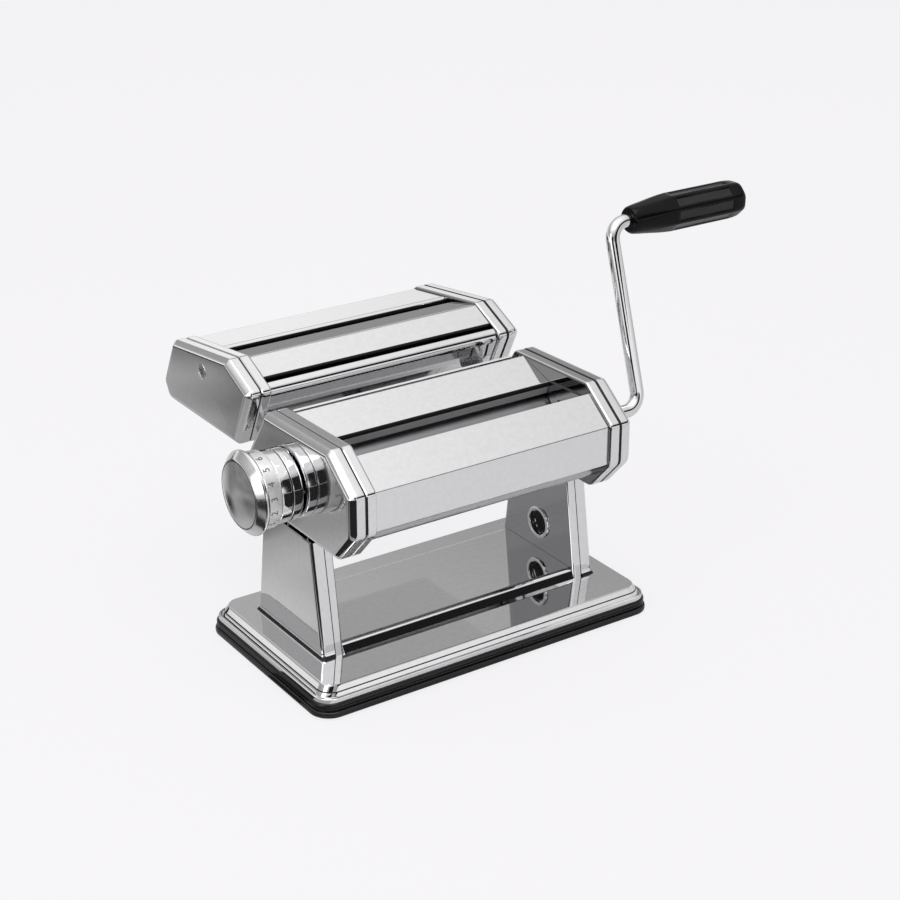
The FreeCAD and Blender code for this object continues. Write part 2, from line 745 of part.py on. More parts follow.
# Covers of the roller body
def make_front_cover():
    top = -s.cheekTopFrontY - 3.2
    high, low = mainCover[1], mainCover[2]
    slope = (high[1] - low[1]) / (high[0] - low[0])
    start = (top, low[1] + slope * (top - low[0]))
    foot = (low[0], rise(s.cheekNoseFootRise) - 0.5)
    heel = (-s.cheekChinY + 2, foot[1])
    body = new_body("front_cover")
    slab(body, sheet_loop([start, low, foot, heel], s.sheet), -half, half)


def make_back_guide():
    rollerTop = axisZ + s.rollerRadius
    path = [
        (s.cheekTopBackY - 6.5, rise(s.cheekTopBackRise) - 4),
        (s.cheekTopBackY - 7.5, rise(s.cheekTopBackRise) - 0.4),
        (s.rearRollerY - 7.8, rollerTop + 8.8),
        (s.rearRollerY - 5.4, rollerTop + 1.7),
    ]
    body = new_body("back_guide")
    slab(body, sheet_loop(path, s.sheet), -half, half)


def make_rear_cover():
    path = [mainCover[5], mainCover[6], mainCover[7], mainCover[0]]
    body = new_body("rear_cover")
    reach = half - s.hookSheet - 3 * s.slideGap
    slab(body, sheet_loop(path, s.sheet), -reach, reach)


def make_end_guides():
    rollerTop = axisZ + s.rollerRadius
    middle = s.rearRollerY - spacing / 2
    plate = [
        (s.rearRollerY - 9, rollerTop + 9.5),
        (-s.cheekTopFrontY + 2, rollerTop + 10.5),
        (-s.cheekTopFrontY + 5, rollerTop + 3),
        (middle - 4.5, rollerTop + 1.6),
        (middle, axisZ + s.rollerRadius * 0.56),
        (middle + 4.5, rollerTop + 1.6),
    ]
    body = new_body("feed_end_guides")
    for _, side in SIDES:
        slab(body, plate, *span(side, half - s.sheet, half))


def make_scrapers():
    tip = s.rollerRadius + s.slideGap
    body = new_body("roller_scrapers")
    for rod, y, sign in ((tieSpots[0], frontRollerY, -1), (tieSpots[1], s.rearRollerY + travel, 1)):
        edge = (y + sign * tip * 0.5, axisZ - tip * 0.87)
        seat = rod[1] + s.rodTieRadius
        plate = [
            edge,
            (edge[0] + sign * 2, edge[1] + 0.3),
            (rod[0] + sign, seat + s.sheet),
            (rod[0] + sign, seat),
            (edge[0] + sign * 4, seat),
        ]
        slab(body, plate if sign < 0 else plate[::-1], -half + 1, half - 1)


def tie_set(spots, radius):
    rods, screws = [], []
    start = half - 8
    for y, z in spots:
        bar = stepped_pin(1, y, z, ((-half, ZERO, radius), (ZERO, half, radius)))
        for _, side in SIDES:
            steps = ((start, start + 1, s.screwRadius), (start + 1, half, s.screwRadius))
            bar = bar.cut(stepped_pin(side, y, z, steps))
            screws.append(stepped_pin(side, y, z, (
                (start + 1, webOut, s.screwRadius),
                (webOut, webOut + s.screwHead * 0.6, s.screwHead),
            )))
        rods.append(bar)
    return rods, screws


def make_ties():
    rods, screws = tie_set(tieSpots, s.rodTieRadius)
    group("tie_rods", rods)
    group("tie_screws", screws)


def cap_screw(side, y, z):
    seat = (capOut - capHeadDepth).value
    crown = capOut.value - 0.1
    slot_width = 1.0
    shank = rod_shape(side * (webOut.value + 2), side * seat, y, z, capScrewRadius.value)
    head = rod_shape(side * seat, side * crown, y, z, capHead.value)
    for turn in (30, 120):
        bar = Part.makeBox(1.4, slot_width, 1.4 * capHead.value)
        bar.translate(Vector(-0.7, -slot_width / 2, -0.7 * capHead.value))
        bar.rotate(Vector(), Vector(1, 0, 0), turn)
        bar.translate(Vector(side * crown, y, z))
        head = head.cut(bar)
    return shank.fuse(head).removeSplitter()


def flanged_bush(side, y, z, outer, lip, flange):
    bush = stepped_pin(side, y, z, ((half, webOut, outer), (webOut, webOut + flange, outer + lip)))
    hole = rod_shape(
        side * half.value,
        side * (webOut + flange).value,
        y.value,
        z.value,
        (s.journalRadius + s.runningFit).value,
    )
    return bush.cut(hole)


def make_bushes():
    bushes = [flanged_bush(side, frontRollerY, axisZ, bushOut, 1.5, s.bushFlange) for _, side in SIDES]
    group("roller_bushes", bushes)
    wall = s.axleRadius + s.bushWall
    profile = [
        (-webOut - s.bushFlange, s.axleRadius + s.runningFit),
        (-half, s.axleRadius + s.runningFit),
        (-half, wall),
        (-webOut, wall),
        (-webOut, wall + 1.5),
        (-webOut - s.bushFlange, wall + 1.5),
    ]
    turned("axle_bush", profile, dialY, dialZ)


# Involute gear with play, one tooth centred on the turn angle
def gear_shape(teeth, pitch_radius, bore_radius, width, play, turn):
    pressure = math.radians(25)
    module = 2 * pitch_radius / teeth
    base = pitch_radius * math.cos(pressure)
    root = pitch_radius - 1.25 * module
    tip = pitch_radius + module
    inv = math.tan(pressure) - pressure

    def half_angle(radius):
        roll = math.acos(min(1.0, base / radius))
        return (math.pi / 2 - play / module) / teeth + inv - (math.tan(roll) - roll)

    def spot(radius, angle):
        return Vector(0, radius * math.cos(angle), radius * math.sin(angle))

    edges = []
    flank = (base, (base + tip) / 2, tip)
    step = 2 * math.pi / teeth
    for number in range(teeth):
        centre = math.radians(turn) + number * step
        lower = [spot(r, centre - half_angle(r)) for r in flank]
        upper = [spot(r, centre + half_angle(r)) for r in flank]
        foot_low = spot(root, centre - half_angle(base))
        foot_high = spot(root, centre + half_angle(base))
        after = spot(root, centre + step - half_angle(base))
        edges.append(Part.LineSegment(foot_low, lower[0]).toShape())
        edges.append(Part.Arc(*lower).toShape())
        edges.append(Part.Arc(lower[2], spot(tip, centre), upper[2]).toShape())
        edges.append(Part.Arc(*upper[::-1]).toShape())
        edges.append(Part.LineSegment(upper[0], foot_high).toShape())
        edges.append(Part.Arc(foot_high, spot(root, centre + step / 2), after).toShape())
    face = Part.Face(Part.Wire(Part.__sortEdges__(edges)))
    body = face.extrude(Vector(width, 0, 0))
    return body.cut(Part.makeCylinder(bore_radius, width, Vector(), Vector(1, 0, 0)))


def make_gear(label, teeth, pitch, bore_size, width, turn, x, y, z):
    item = doc.addObject("Part::Feature", label)
    item.Label = label
    item.Shape = gear_shape(teeth, pitch.value / 2, bore_size.value, width.value, 0.3, turn)
    place(item, x, y, z)
    parts.append(item)


rollerTeeth = 14
cutterTeeth = 14
gearStart = webOut + s.bushFlange + s.slideGap
gearEnd = gearStart + s.gearWidth
driveEnd = capIn - 0.5


def square_socket(body, end):
    flat = s.socketSide / 2
    slab_cut(body, [(flat, flat), (-flat, flat), (-flat, -flat), (flat, -flat)], end - s.socketDepth, end)


def make_rollers():
    face = half - s.rollerEnd
    journal = s.journalRadius
    stub = webOut + s.bushFlange + 1
    profile = [(-stub, 0), (driveEnd, 0), (driveEnd, journal), (face, journal), (face, s.rollerRadius)]
    profile += [(-face, s.rollerRadius), (-face, journal), (-stub, journal)]
    lean = -s.armLean
    roller = turned("front_roller", profile, frontRollerY, axisZ, lean)
    square_socket(roller, driveEnd)
    make_gear("front_gear", rollerTeeth, spacing, journal, s.gearWidth, 0, gearStart, frontRollerY, axisZ)

    hole = s.eccentricRadius + s.sleeveGap + s.sleeveWall + s.runningFit
    neck = half - 3
    profile = [
        (-face, hole),
        (neck, hole),
        (neck, s.rearJournalBore),
        (gearEnd, s.rearJournalBore),
        (gearEnd, s.rearJournal),
        (face, s.rearJournal),
        (face, s.rollerRadius),
        (-face, s.rollerRadius),
    ]
    turned("rear_roller", profile, s.rearRollerY, axisZ)
    half_tooth = 180 + 180 / rollerTeeth
    spot = (gearStart, s.rearRollerY, axisZ)
    make_gear("rear_gear", rollerTeeth, spacing, s.rearJournal, s.gearWidth, half_tooth, *spot)

    inner = s.eccentricRadius + s.sleeveGap
    outer = inner + s.sleeveWall
    profiles = []
    for _, side in SIDES:
        start, end = span(side, neck - 1 - s.sleeveLength, neck - 1)
        profiles.append([(start, inner), (end, inner), (end, outer), (start, outer)])
    turned("roller_sleeves", profiles, s.rearRollerY, axisZ)


# Adjuster axle with its eccentric middle, and the dial knob on its hexagon
knobIn = capOut + s.knobGap
dialStart = knobIn + s.knobBodyLength
dialEnd = dialStart + s.dialLength
capRim = dialEnd + s.knobCapRim
capFaceX = capRim + s.knobCapCone
hexStart = capIn - 1
hexEnd = dialEnd - 1
knobFloor = knobIn + s.detentLength + 3.6
nutRadius = s.hexFlats
nutLength = s.hexFlats / 4
nutStart = hexEnd - nutLength - 0.4
springWire = 0.7


def hexagon(flats):
    corner = flats / math.sqrt(3)
    angles = [math.radians(60 * number) for number in range(6)]
    return [(corner * math.cos(angle), corner * math.sin(angle)) for angle in angles]


def make_axle():
    body = new_body("adjuster_axle")
    middle = half - 3.5
    throwY = -s.eccentric * math.sin(halfTurn)
    throwZ = s.eccentric * math.cos(halfTurn)
    boss(body, 0, 0, s.axleRadius, -hexStart, driveEnd + 0.3)
    boss(body, throwY, throwZ, s.eccentricRadius, -middle, middle)
    slab(body, hexagon(s.hexFlats), -hexEnd, -hexStart)
    place(body, 0, dialY, dialZ)
    doc.recompute()


def make_knob():
    grip = s.knobBodyRadius
    inner = s.knobBodyRadius - 2.5
    profile = [
        (-dialEnd, 0),
        (-knobIn, 0),
        (-knobIn, grip - 0.8),
        (-knobIn - 0.8, grip),
        (-dialStart, grip),
        (-dialStart, inner),
        (-dialEnd, inner),
    ]
    knob = turned("knob_body", profile, dialY, dialZ)
    slab_cut(knob, hexagon(s.hexFlats + 0.3), -knobFloor - 1, -knobIn)
    bore(knob, 0, 0, nutRadius + 0.8, -dialEnd, -knobFloor)
    ring = new_sketch(knob, "YZ_Plane", -knobIn - s.detentLength - 0.6)
    draw_circle(ring, 0, 0, s.detentRing + s.detentRadius + 0.4)
    draw_circle(ring, 0, 0, s.detentRing - s.detentRadius - 0.4)
    groove = knob.newObject("PartDesign::Pocket", "detent_groove")
    groove.Profile = ring
    groove.Length = s.detentLength.value + 1
    groove.Reversed = True
    bind(groove, "Length", s.detentLength + 1)
    doc.recompute()

    nut = new_body("axle_nut")
    boss(nut, 0, 0, nutRadius, -nutStart - nutLength, -nutStart)
    slab_cut(nut, hexagon(s.hexFlats), -nutStart - nutLength, -nutStart)
    place(nut, 0, dialY, dialZ)
    coil = nutRadius.value - 1.8
    reach = (nutStart - knobFloor).value - 2 * springWire
    helix = Part.makeHelix(reach / 5, reach, coil)
    wire = Part.Wire([Part.makeCircle(springWire, Vector(coil, 0, 0), Vector(0, 1, 0))])
    spring = doc.addObject("Part::Feature", "knob_spring")
    spring.Label = "knob_spring"
    spring.Shape = Part.Wire(helix.Edges).makePipeShell([wire], True, True)
    spring.Placement = Placement(Vector(), Rotation(Vector(0, 1, 0), -90))
    for axis, value in zip("xyz", (-knobFloor - springWire, dialY, dialZ)):
        bind(spring, f"Placement.Base.{axis}", value)
    parts.append(spring)

    profile = [(-dialEnd, inner), (-dialStart, inner), (-dialStart, s.dialRadius), (-dialEnd, s.dialRadius)]
    turned("dial_ring", profile, dialY, dialZ)
    rim = s.knobCapRadius
    profile = [
        (-capFaceX - s.knobDome, 0),
        (-dialEnd, 0),
        (-dialEnd, rim - 0.8),
        (-dialEnd - 0.8, rim),
        (-capRim, rim),
        (-capFaceX, s.knobFaceRadius),
    ]
    turned("knob_cap", profile, dialY, dialZ)
    profile = [(-capOut - s.detentLength, 0), (-capIn, 0), (-capIn, s.detentRadius)]
    profile.append((-capOut - s.detentLength, s.detentRadius))
    turned("detent_pin", profile, dialY - s.detentRing, dialZ)


# Crank: a bent rod with a square end, and a grip that spins on it
def make_crank():
    arm = capOut + s.armPlane
    lean = -s.armLean
    bend = s.rodBend
    length = s.armLength
    gripX = arm + s.gripStart
    gripEnd = gripX + s.gripLength
    names = []

    def keep(item):
        names.append(item)
        return item

    def rod(name, start, end, radius, x=None, z=None):
        item = keep(doc.addObject("Part::Cylinder", name))
        bind(item, "Radius", radius)
        bind(item, "Height", size(end) - start)
        along_x = x is None
        turn = Rotation(Vector(0, 1, 0), 90) if along_x else Rotation()
        spot = (start, 0, z) if along_x else (x, 0, start)
        item.Placement = Placement(Vector(), turn)
        for axis, value in zip("xyz", spot):
            bind(item, f"Placement.Base.{axis}", value)

    def elbow(name, x, z, x_dir, y_dir):
        item = keep(doc.addObject("Part::Torus", name))
        bind(item, "Radius1", bend)
        bind(item, "Radius2", s.rodRadius)
        item.Angle3 = 90
        item.Placement = Placement(Vector(), Rotation(x_dir, y_dir, x_dir.cross(y_dir), "XYZ"))
        for axis, value in zip("xyz", (x, 0, z)):
            bind(item, f"Placement.Base.{axis}", value)

    tip_end = driveEnd - s.socketDepth + 1
    flat = s.socketSide - 0.2
    tip = keep(doc.addObject("Part::Box", "crank_tip"))
    bind(tip, "Length", s.socketDepth + 2)
    bind(tip, "Width", flat)
    bind(tip, "Height", flat)
    for axis, value in zip("xyz", (tip_end, -flat / 2, -flat / 2)):
        bind(tip, f"Placement.Base.{axis}", value)
    rod("crank_shank", tip_end + s.socketDepth + 0.5, arm - bend, s.rodRadius, z=0)
    elbow("crank_elbow", arm - bend, bend, Vector(0, 0, -1), Vector(1, 0, 0))
    rod("crank_arm", bend, length - bend, s.rodRadius, x=arm)
    elbow("crank_shoulder", arm + bend, length - bend, Vector(-1, 0, 0), Vector(0, 0, 1))
    rod("crank_neck", arm + bend, gripX - s.slideGap, s.rodRadius, z=length)
    rod("crank_spindle", gripX - s.slideGap, gripEnd - 6, s.spindleRadius, z=length)
    crank = doc.addObject("Part::MultiFuse", "crank_rod")
    crank.Label = "crank_rod"
    crank.Shapes = names
    crank.Refine = True
    place(crank, 0, frontRollerY, axisZ, lean)
    parts.append(crank)

    angle = math.radians(s.armLean.value)
    gripY = frontRollerY + length * math.sin(angle)
    gripZ = axisZ + length * math.cos(angle)
    hole = s.spindleRadius + s.runningFit
    recess = s.spindleRadius + 3
    neck = s.gripNeck
    belly = s.gripBelly
    profile = [
        (gripX, hole),
        (gripEnd - 7.5, hole),
        (gripEnd - 7.5, recess),
        (gripEnd - 3, recess),
        (gripEnd - 3, belly - 4.5),
        (gripEnd - 1, belly - 2.5),
        (gripEnd - 5, belly),
        (gripEnd - 20, belly),
        (gripX + 22, neck + 1),
        (gripX + 2, neck),
        (gripX, neck - 2),
    ]
    turned("grip", profile, gripY, gripZ)
    washer = recess - 0.6
    profile = [(gripEnd - 7, s.spindleRadius), (gripEnd - 6, s.spindleRadius), (gripEnd - 6, washer)]
    turned("spindle_washer", profile + [(gripEnd - 7, washer)], gripY, gripZ)
    profile = [(gripEnd - 3, 0), (gripEnd, 0), (gripEnd, belly - 5), (gripEnd - 1, belly - 2.9)]
    turned("grip_end_plug", profile + [(gripEnd - 3, belly - 4.9)], gripY, gripZ)


# Cutter unit
def slot_point(y):
    high, low = cutterCover[1], cutterCover[0]
    if size(y).value < high[0].value:
        high, low = cutterCover[2], cutterCover[1]
    slope = (high[1] - low[1]) / (high[0] - low[0])
    return (y, low[1] + slope * (y - low[0]))


def make_cutter_covers():
    gap = s.slotWidth / 2
    reach = s.discRadius + 2
    wide_low = (s.wideAxisY - cutterSpacing + 3.2, cutterZ + reach)
    wide_high = (s.wideAxisY - 4.5, cutterZ + reach)
    narrow_low = (s.narrowAxisY + 5, cutterZ + reach)
    narrow_high = (s.narrowAxisY + cutterSpacing - 6, cutterZ + reach + 0.8)
    back = [cutterCover[4], cutterCover[5], cutterCover[0], slot_point(s.wideSlotY + gap), wide_high]
    lip = slot_point(s.wideSlotY - gap)
    middle = [wide_low, (lip[0], lip[1] - s.slotDrop), cutterCover[1]]
    middle += [slot_point(s.narrowSlotY + gap), narrow_high]
    front = [narrow_low, slot_point(s.narrowSlotY - gap), cutterCover[2], cutterCover[3]]
    for label, path in (("back", back), ("middle", middle), ("front", front)):
        body = new_body(f"cutter_{label}_cover")
        slab(body, sheet_loop(path, s.sheet), -half, half)
        if label == "front":
            notch = [
                (s.cutterFootFrontY + 6, cutterZ - 6),
                (s.cutterBrowY, cutterZ - 3),
                (s.cutterBrowY, rise(s.cutterFootRise) - 1),
                (s.cutterFootFrontY + 6, rise(s.cutterFootRise) - 1),
            ]
            for _, side in SIDES:
                slab_cut(body, notch, *span(side, half - s.hookSheet - 3 * s.slideGap, half))


cutterAxes = (
    ("narrow_drive", s.narrowAxisY, True),
    ("narrow_idle", s.narrowAxisY + cutterSpacing, False),
    ("wide_idle", s.wideAxisY - cutterSpacing, False),
    ("wide_drive", s.wideAxisY, True),
)
cutterTies = (
    (s.cutterFootBackY - 4, rise(s.cutterFootRise) + 10),
    (s.cutterTopBackY - 6, rise(s.cutterTopBackRise) - 9),
    (s.narrowAxisY + cutterSpacing + 1.8, rise(s.cutterTopFrontRise) - 10),
)
rivetHead = s.screwHead * 0.75
hookRivets = ((s.cutterFootFrontY + 6, cutterZ - 12.5), (s.cutterFootFrontY + 16, cutterZ - 12.5))


def make_cutter_sides():
    for name, side in SIDES:
        frame = make_frame(f"cutter_frame_{name}", side, cutterOutline, cutterRounds)
        add_post(frame, side, s.capScrewY, rise(s.capScrewRise))
        for _, y, _ in cutterAxes:
            bore(frame, y, cutterZ, s.journalRadius + 1.5, *span(side, half, webOut))
        for y, z in cutterTies + hookRivets:
            bore(frame, y, z, s.screwRadius, *span(side, half, webOut))
        cap = make_cap(f"cutter_cap_{name}", side, cutterOutline, cutterRounds)
        add_screw_hole(cap, side, s.capScrewY, rise(s.capScrewRise))
        if side > 0:
            for _, y, driven in cutterAxes:
                if driven:
                    bore(cap, y, cutterZ, s.journalRadius + 0.5, *span(side, capIn, capOut))


# A row of equal discs along a cutter, those of a pair standing in each other's gaps
def add_discs(body, strip, driven):
    pitch = 2 * strip
    count = int((2 * (half - s.rollerEnd).value - 2) // pitch.value)
    start = -count * pitch / 2 + s.discPlay / 2
    if not driven:
        start = start + strip
        count = count - 1
    disc = boss(body, 0, 0, s.discRadius, start, start + strip - s.discPlay)
    row = body.newObject("PartDesign::LinearPattern", f"{body.Name}_row")
    row.Originals = [disc]
    row.Direction = ([f for f in body.Origin.OriginFeatures if f.Role == "X_Axis"][0], [""])
    row.Occurrences = count
    row.Length = (pitch * (count - 1)).value
    bind(row, "Length", pitch * (count - 1))
    body.Tip = row
    doc.recompute()


cutterGearWidth = (s.gearWidth - s.slideGap) / 2


def make_cutters():
    for label, y, driven in cutterAxes:
        wide = "wide" in label
        face = half - s.rollerEnd
        journal = s.journalRadius
        left = -gearEnd
        right = driveEnd if driven else webOut + 2
        profile = [(left, 0), (right, 0), (right, journal), (face, journal), (face, s.coreRadius)]
        profile += [(-face, s.coreRadius), (-face, journal), (left, journal)]
        body = turned(f"{label}_cutter", profile, y, cutterZ)
        add_discs(body, s.wideStrip if wide else s.narrowStrip, driven)
        if driven:
            square_socket(body, driveEnd)
        turn = 0 if driven else 180 / cutterTeeth
        start = left if wide else -gearStart - cutterGearWidth
        sizes = (cutterTeeth, cutterSpacing, journal, cutterGearWidth, turn)
        make_gear(f"{label}_gear", *sizes, start, y, cutterZ)


def make_cutter_hardware():
    rods, screws = tie_set(cutterTies, s.rodTieRadius * 0.8)
    bushes, caps = [], []
    for _, side in SIDES:
        for _, y, _ in cutterAxes:
            bushes.append(flanged_bush(side, y, cutterZ, s.journalRadius + 1.5, 0.7, size(1)))
        caps.append(cap_screw(side, s.capScrewY.value, rise(s.capScrewRise).value))
    group("cutter_tie_rods", rods)
    group("cutter_tie_screws", screws)
    group("cutter_bushes", bushes)
    group("cutter_cap_screws", caps)
    main = [cap_screw(side, y.value, z.value) for _, side in SIDES for y, z in capPosts[side]]
    group("cheek_cap_screws", main)


def make_hooks():
    slotHalf = s.hookPinRadius + s.slideGap
    top = rise(s.hookPinTopRise) + slotHalf
    low = rise(s.hookPinFootRise) - 3.5
    plate = [
        (s.cutterFootFrontY + 20, cutterZ - 9.8),
        (s.hookPinY - slotHalf - 4, top + 5),
        (s.hookPinY - slotHalf - 4, low),
        (s.hookPinY - slotHalf, low),
        (s.hookPinY - slotHalf, top),
        (s.hookPinY + slotHalf, top),
        (s.hookPinY + slotHalf, low),
        (s.hookPinY + slotHalf + 6, low),
        (s.cutterFootFrontY + 4, cutterZ - 17),
        (s.cutterFootFrontY + 20, cutterZ - 17),
    ]
    pins, rivets = [], []
    inner = half - s.slideGap - s.hookSheet
    for name, side in SIDES:
        body = new_body(f"cutter_hook_{name}")
        slab(body, plate, *span(side, inner, half - s.slideGap))
        for y, z in hookRivets:
            bore(body, y, z, s.screwRadius, *span(side, inner, half - s.slideGap))
            rivets.append(stepped_pin(side, y, z, (
                (inner - 1.2, inner, rivetHead),
                (inner, webOut, s.screwRadius),
                (webOut, webOut + 1, rivetHead),
            )))
        for y, z in hookPins:
            pins.append(stepped_pin(side, y, z, (
                (half - s.hookSheet - 0.6, half, s.hookPinRadius),
                (half, webOut + 1, s.screwRadius),
            )))
    group("hook_pins", pins)
    group("hook_rivets", rivets)


make_foot()
make_pads()
make_tray()
make_saddle()
for name, side in SIDES:
    make_leg_shell(name, side)
make_grommet()
make_main_sides()
make_front_cover()
make_back_guide()
make_rear_cover()
make_end_guides()
make_scrapers()
make_ties()
make_bushes()
make_rollers()
make_axle()
make_knob()
make_crank()
make_cutter_sides()
make_cutter_covers()
make_cutters()
make_cutter_hardware()
make_hooks()
doc.recompute()

for item in doc.Objects:
    if "Invalid" in item.State or "Error" in item.State:
        raise RuntimeError(f"{item.Label} failed: {item.State}")
os.makedirs("parts", exist_ok=True)
for item in parts:
    shape = item.Shape
    if shape.isNull() or not shape.isValid():
        raise RuntimeError(f"{item.Label} has no valid shape")
    shape.exportStep(f"parts/{item.Label}.step")
    print(item.Label, len(shape.Solids), round(shape.Volume, 1))
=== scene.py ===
import json
import math
import bmesh
import bpy
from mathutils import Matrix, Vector


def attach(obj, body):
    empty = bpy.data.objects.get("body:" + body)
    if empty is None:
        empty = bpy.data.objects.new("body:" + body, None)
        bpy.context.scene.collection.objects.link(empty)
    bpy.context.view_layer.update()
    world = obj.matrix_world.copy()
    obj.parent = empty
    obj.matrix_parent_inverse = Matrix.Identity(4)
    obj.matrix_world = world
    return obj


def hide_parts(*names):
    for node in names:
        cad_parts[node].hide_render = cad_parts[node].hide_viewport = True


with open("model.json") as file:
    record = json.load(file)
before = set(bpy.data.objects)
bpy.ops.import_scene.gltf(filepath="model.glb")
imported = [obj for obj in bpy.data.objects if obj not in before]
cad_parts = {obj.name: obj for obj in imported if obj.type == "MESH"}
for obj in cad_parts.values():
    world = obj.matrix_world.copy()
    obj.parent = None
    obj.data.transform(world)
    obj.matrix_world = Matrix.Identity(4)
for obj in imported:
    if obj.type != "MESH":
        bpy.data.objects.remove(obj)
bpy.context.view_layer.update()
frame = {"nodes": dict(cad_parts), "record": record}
print("stage: frame loaded")
mm = 0.001


# Materials: every look is made in Object coordinates, with shared groups for smudges and waves
def newGroup(name, inputs, outputs):
    group = bpy.data.node_groups.new(name, "ShaderNodeTree")
    for label, kind, value in inputs:
        socket = group.interface.new_socket(label, in_out="INPUT", socket_type=kind)
        socket.default_value = value
    for label, kind in outputs:
        group.interface.new_socket(label, in_out="OUTPUT", socket_type=kind)
    return group


def addNode(tree, kind, **values):
    node = tree.nodes.new(kind)
    for key, value in values.items():
        if key in ("operation", "data_type"):
            setattr(node, key, value)
        else:
            node.inputs[key.replace("_", " ")].default_value = value
    return node


def makePolishGroup():
    group = newGroup(
        "polishWear",
        [
            ("Vector", "NodeSocketVector", (0, 0, 0)),
            ("Smudge", "NodeSocketFloat", 0.05),
            ("Rough", "NodeSocketFloat", 0.05),
        ],
        [("Roughness", "NodeSocketFloat"), ("Height", "NodeSocketFloat"), ("Tone", "NodeSocketFloat")],
    )
    source = group.nodes.new("NodeGroupInput")
    sink = group.nodes.new("NodeGroupOutput")
    link = group.links.new
    broad = addNode(group, "ShaderNodeTexNoise", Scale=22.0, Detail=3.0, Roughness=0.55)
    fine = addNode(group, "ShaderNodeTexNoise", Scale=310.0, Detail=4.0, Roughness=0.6)
    waves = addNode(group, "ShaderNodeTexNoise", Scale=14.0, Detail=1.0, Roughness=0.4)
    for node in (broad, fine, waves):
        link(source.outputs["Vector"], node.inputs["Vector"])
    both = addNode(group, "ShaderNodeMath", operation="MULTIPLY")
    link(broad.outputs["Fac"], both.inputs[0])
    link(fine.outputs["Fac"], both.inputs[1])
    amount = addNode(group, "ShaderNodeMath", operation="MULTIPLY")
    link(both.outputs[0], amount.inputs[0])
    link(source.outputs["Smudge"], amount.inputs[1])
    total = addNode(group, "ShaderNodeMath", operation="ADD")
    link(amount.outputs[0], total.inputs[0])
    link(source.outputs["Rough"], total.inputs[1])
    link(total.outputs[0], sink.inputs["Roughness"])
    link(waves.outputs["Fac"], sink.inputs["Height"])
    link(fine.outputs["Fac"], sink.inputs["Tone"])
    return group


polishGroup = makePolishGroup()
mixDark, mixLight, mixColor = 6, 7, 2
webShadeFade, webShadeTone = 0.0006, 0.3
waveDepth = 0.002


def makeMaterial(name, color, metallic, rough, smudge, wave, shine=0.5, dark=0.85, webShadeX=0):
    material = bpy.data.materials.new(name)
    material.use_nodes = True
    tree = material.node_tree
    shader = tree.nodes["Principled BSDF"]
    shader.inputs["Metallic"].default_value = metallic
    shader.inputs["Specular IOR Level"].default_value = shine
    coords = tree.nodes.new("ShaderNodeTexCoord")
    wear = tree.nodes.new("ShaderNodeGroup")
    wear.node_tree = polishGroup
    wear.inputs["Smudge"].default_value = smudge
    wear.inputs["Rough"].default_value = rough
    tree.links.new(coords.outputs["Object"], wear.inputs["Vector"])
    tree.links.new(wear.outputs["Roughness"], shader.inputs["Roughness"])
    tone = addNode(tree, "ShaderNodeMix", data_type="RGBA")
    tone.inputs[mixDark].default_value = (*[c * dark for c in color], 1)
    tone.inputs[mixLight].default_value = (*color, 1)
    tree.links.new(wear.outputs["Tone"], tone.inputs[0])
    tree.links.new(tone.outputs[mixColor], shader.inputs["Base Color"])
    # Close to the middle in X the base colour is scaled down to a fraction: painted shade on the inner
    # faces of the frames' webs
    if webShadeX:
        split = tree.nodes.new("ShaderNodeSeparateXYZ")
        tree.links.new(coords.outputs["Object"], split.inputs["Vector"])
        away = addNode(tree, "ShaderNodeMath", operation="ABSOLUTE")
        tree.links.new(split.outputs["X"], away.inputs[0])
        limits = {"From_Min": webShadeX, "From_Max": webShadeX + webShadeFade, "To_Min": webShadeTone, "To_Max": 1.0}
        fade = addNode(tree, "ShaderNodeMapRange", **limits)
        tree.links.new(away.outputs[0], fade.inputs["Value"])
        shade = addNode(tree, "ShaderNodeVectorMath", operation="SCALE")
        tree.links.new(tone.outputs[mixColor], shade.inputs[0])
        tree.links.new(fade.outputs["Result"], shade.inputs["Scale"])
        tree.links.new(shade.outputs["Vector"], shader.inputs["Base Color"])
    if wave:
        bump = addNode(tree, "ShaderNodeBump", Strength=wave, Distance=waveDepth)
        tree.links.new(wear.outputs["Height"], bump.inputs["Height"])
        tree.links.new(bump.outputs["Normal"], shader.inputs["Normal"])
    return material


# Each row: colour, metallic, roughness, smudges, waves, then shine where it differs
chrome = makeMaterial("chrome", (0.86, 0.86, 0.87), 1.0, 0.035, 0.06, 0.06)
chromeFlat = makeMaterial("chromeFlat", (0.85, 0.85, 0.86), 1.0, 0.03, 0.05, 0.012)
chromeSoft = makeMaterial("chromeSoft", (0.85, 0.85, 0.86), 1.0, 0.035, 0.05, 0.012)
# A darker copy of the chrome: painted shade on chrome faces inside the machine
chromePaintedShade = makeMaterial("chromePaintedShade", (0.5, 0.5, 0.51), 1.0, 0.04, 0.06, 0.012)
chromeSatin = makeMaterial("chromeSatin", (0.86, 0.86, 0.87), 1.0, 0.15, 0.1, 0.02)
chromeWavy = makeMaterial("chromePressed", (0.84, 0.84, 0.85), 1.0, 0.05, 0.08, 0.42)
# Near-black: painted shade in slots, grooves, seams and at the legs' feet
paintedShadeSteel = makeMaterial("paintedShadeSteel", (0.035, 0.035, 0.036), 0.6, 0.45, 0.2, 0.0, 0.2)
steel = makeMaterial("groundSteel", (0.5, 0.5, 0.51), 1.0, 0.22, 0.2, 0.05)
footBlack = makeMaterial("footBlack", (0.006, 0.006, 0.0065), 0.0, 0.2, 0.25, 0.05, 0.4)
rubberAndBoreShade = makeMaterial("rubberAndBoreShade", (0.03, 0.03, 0.03), 0.0, 0.7, 0.2, 0.1)
gripBlack = makeMaterial("gripBlack", (0.004, 0.004, 0.0045), 0.0, 0.12, 0.12, 0.03, 0.14)
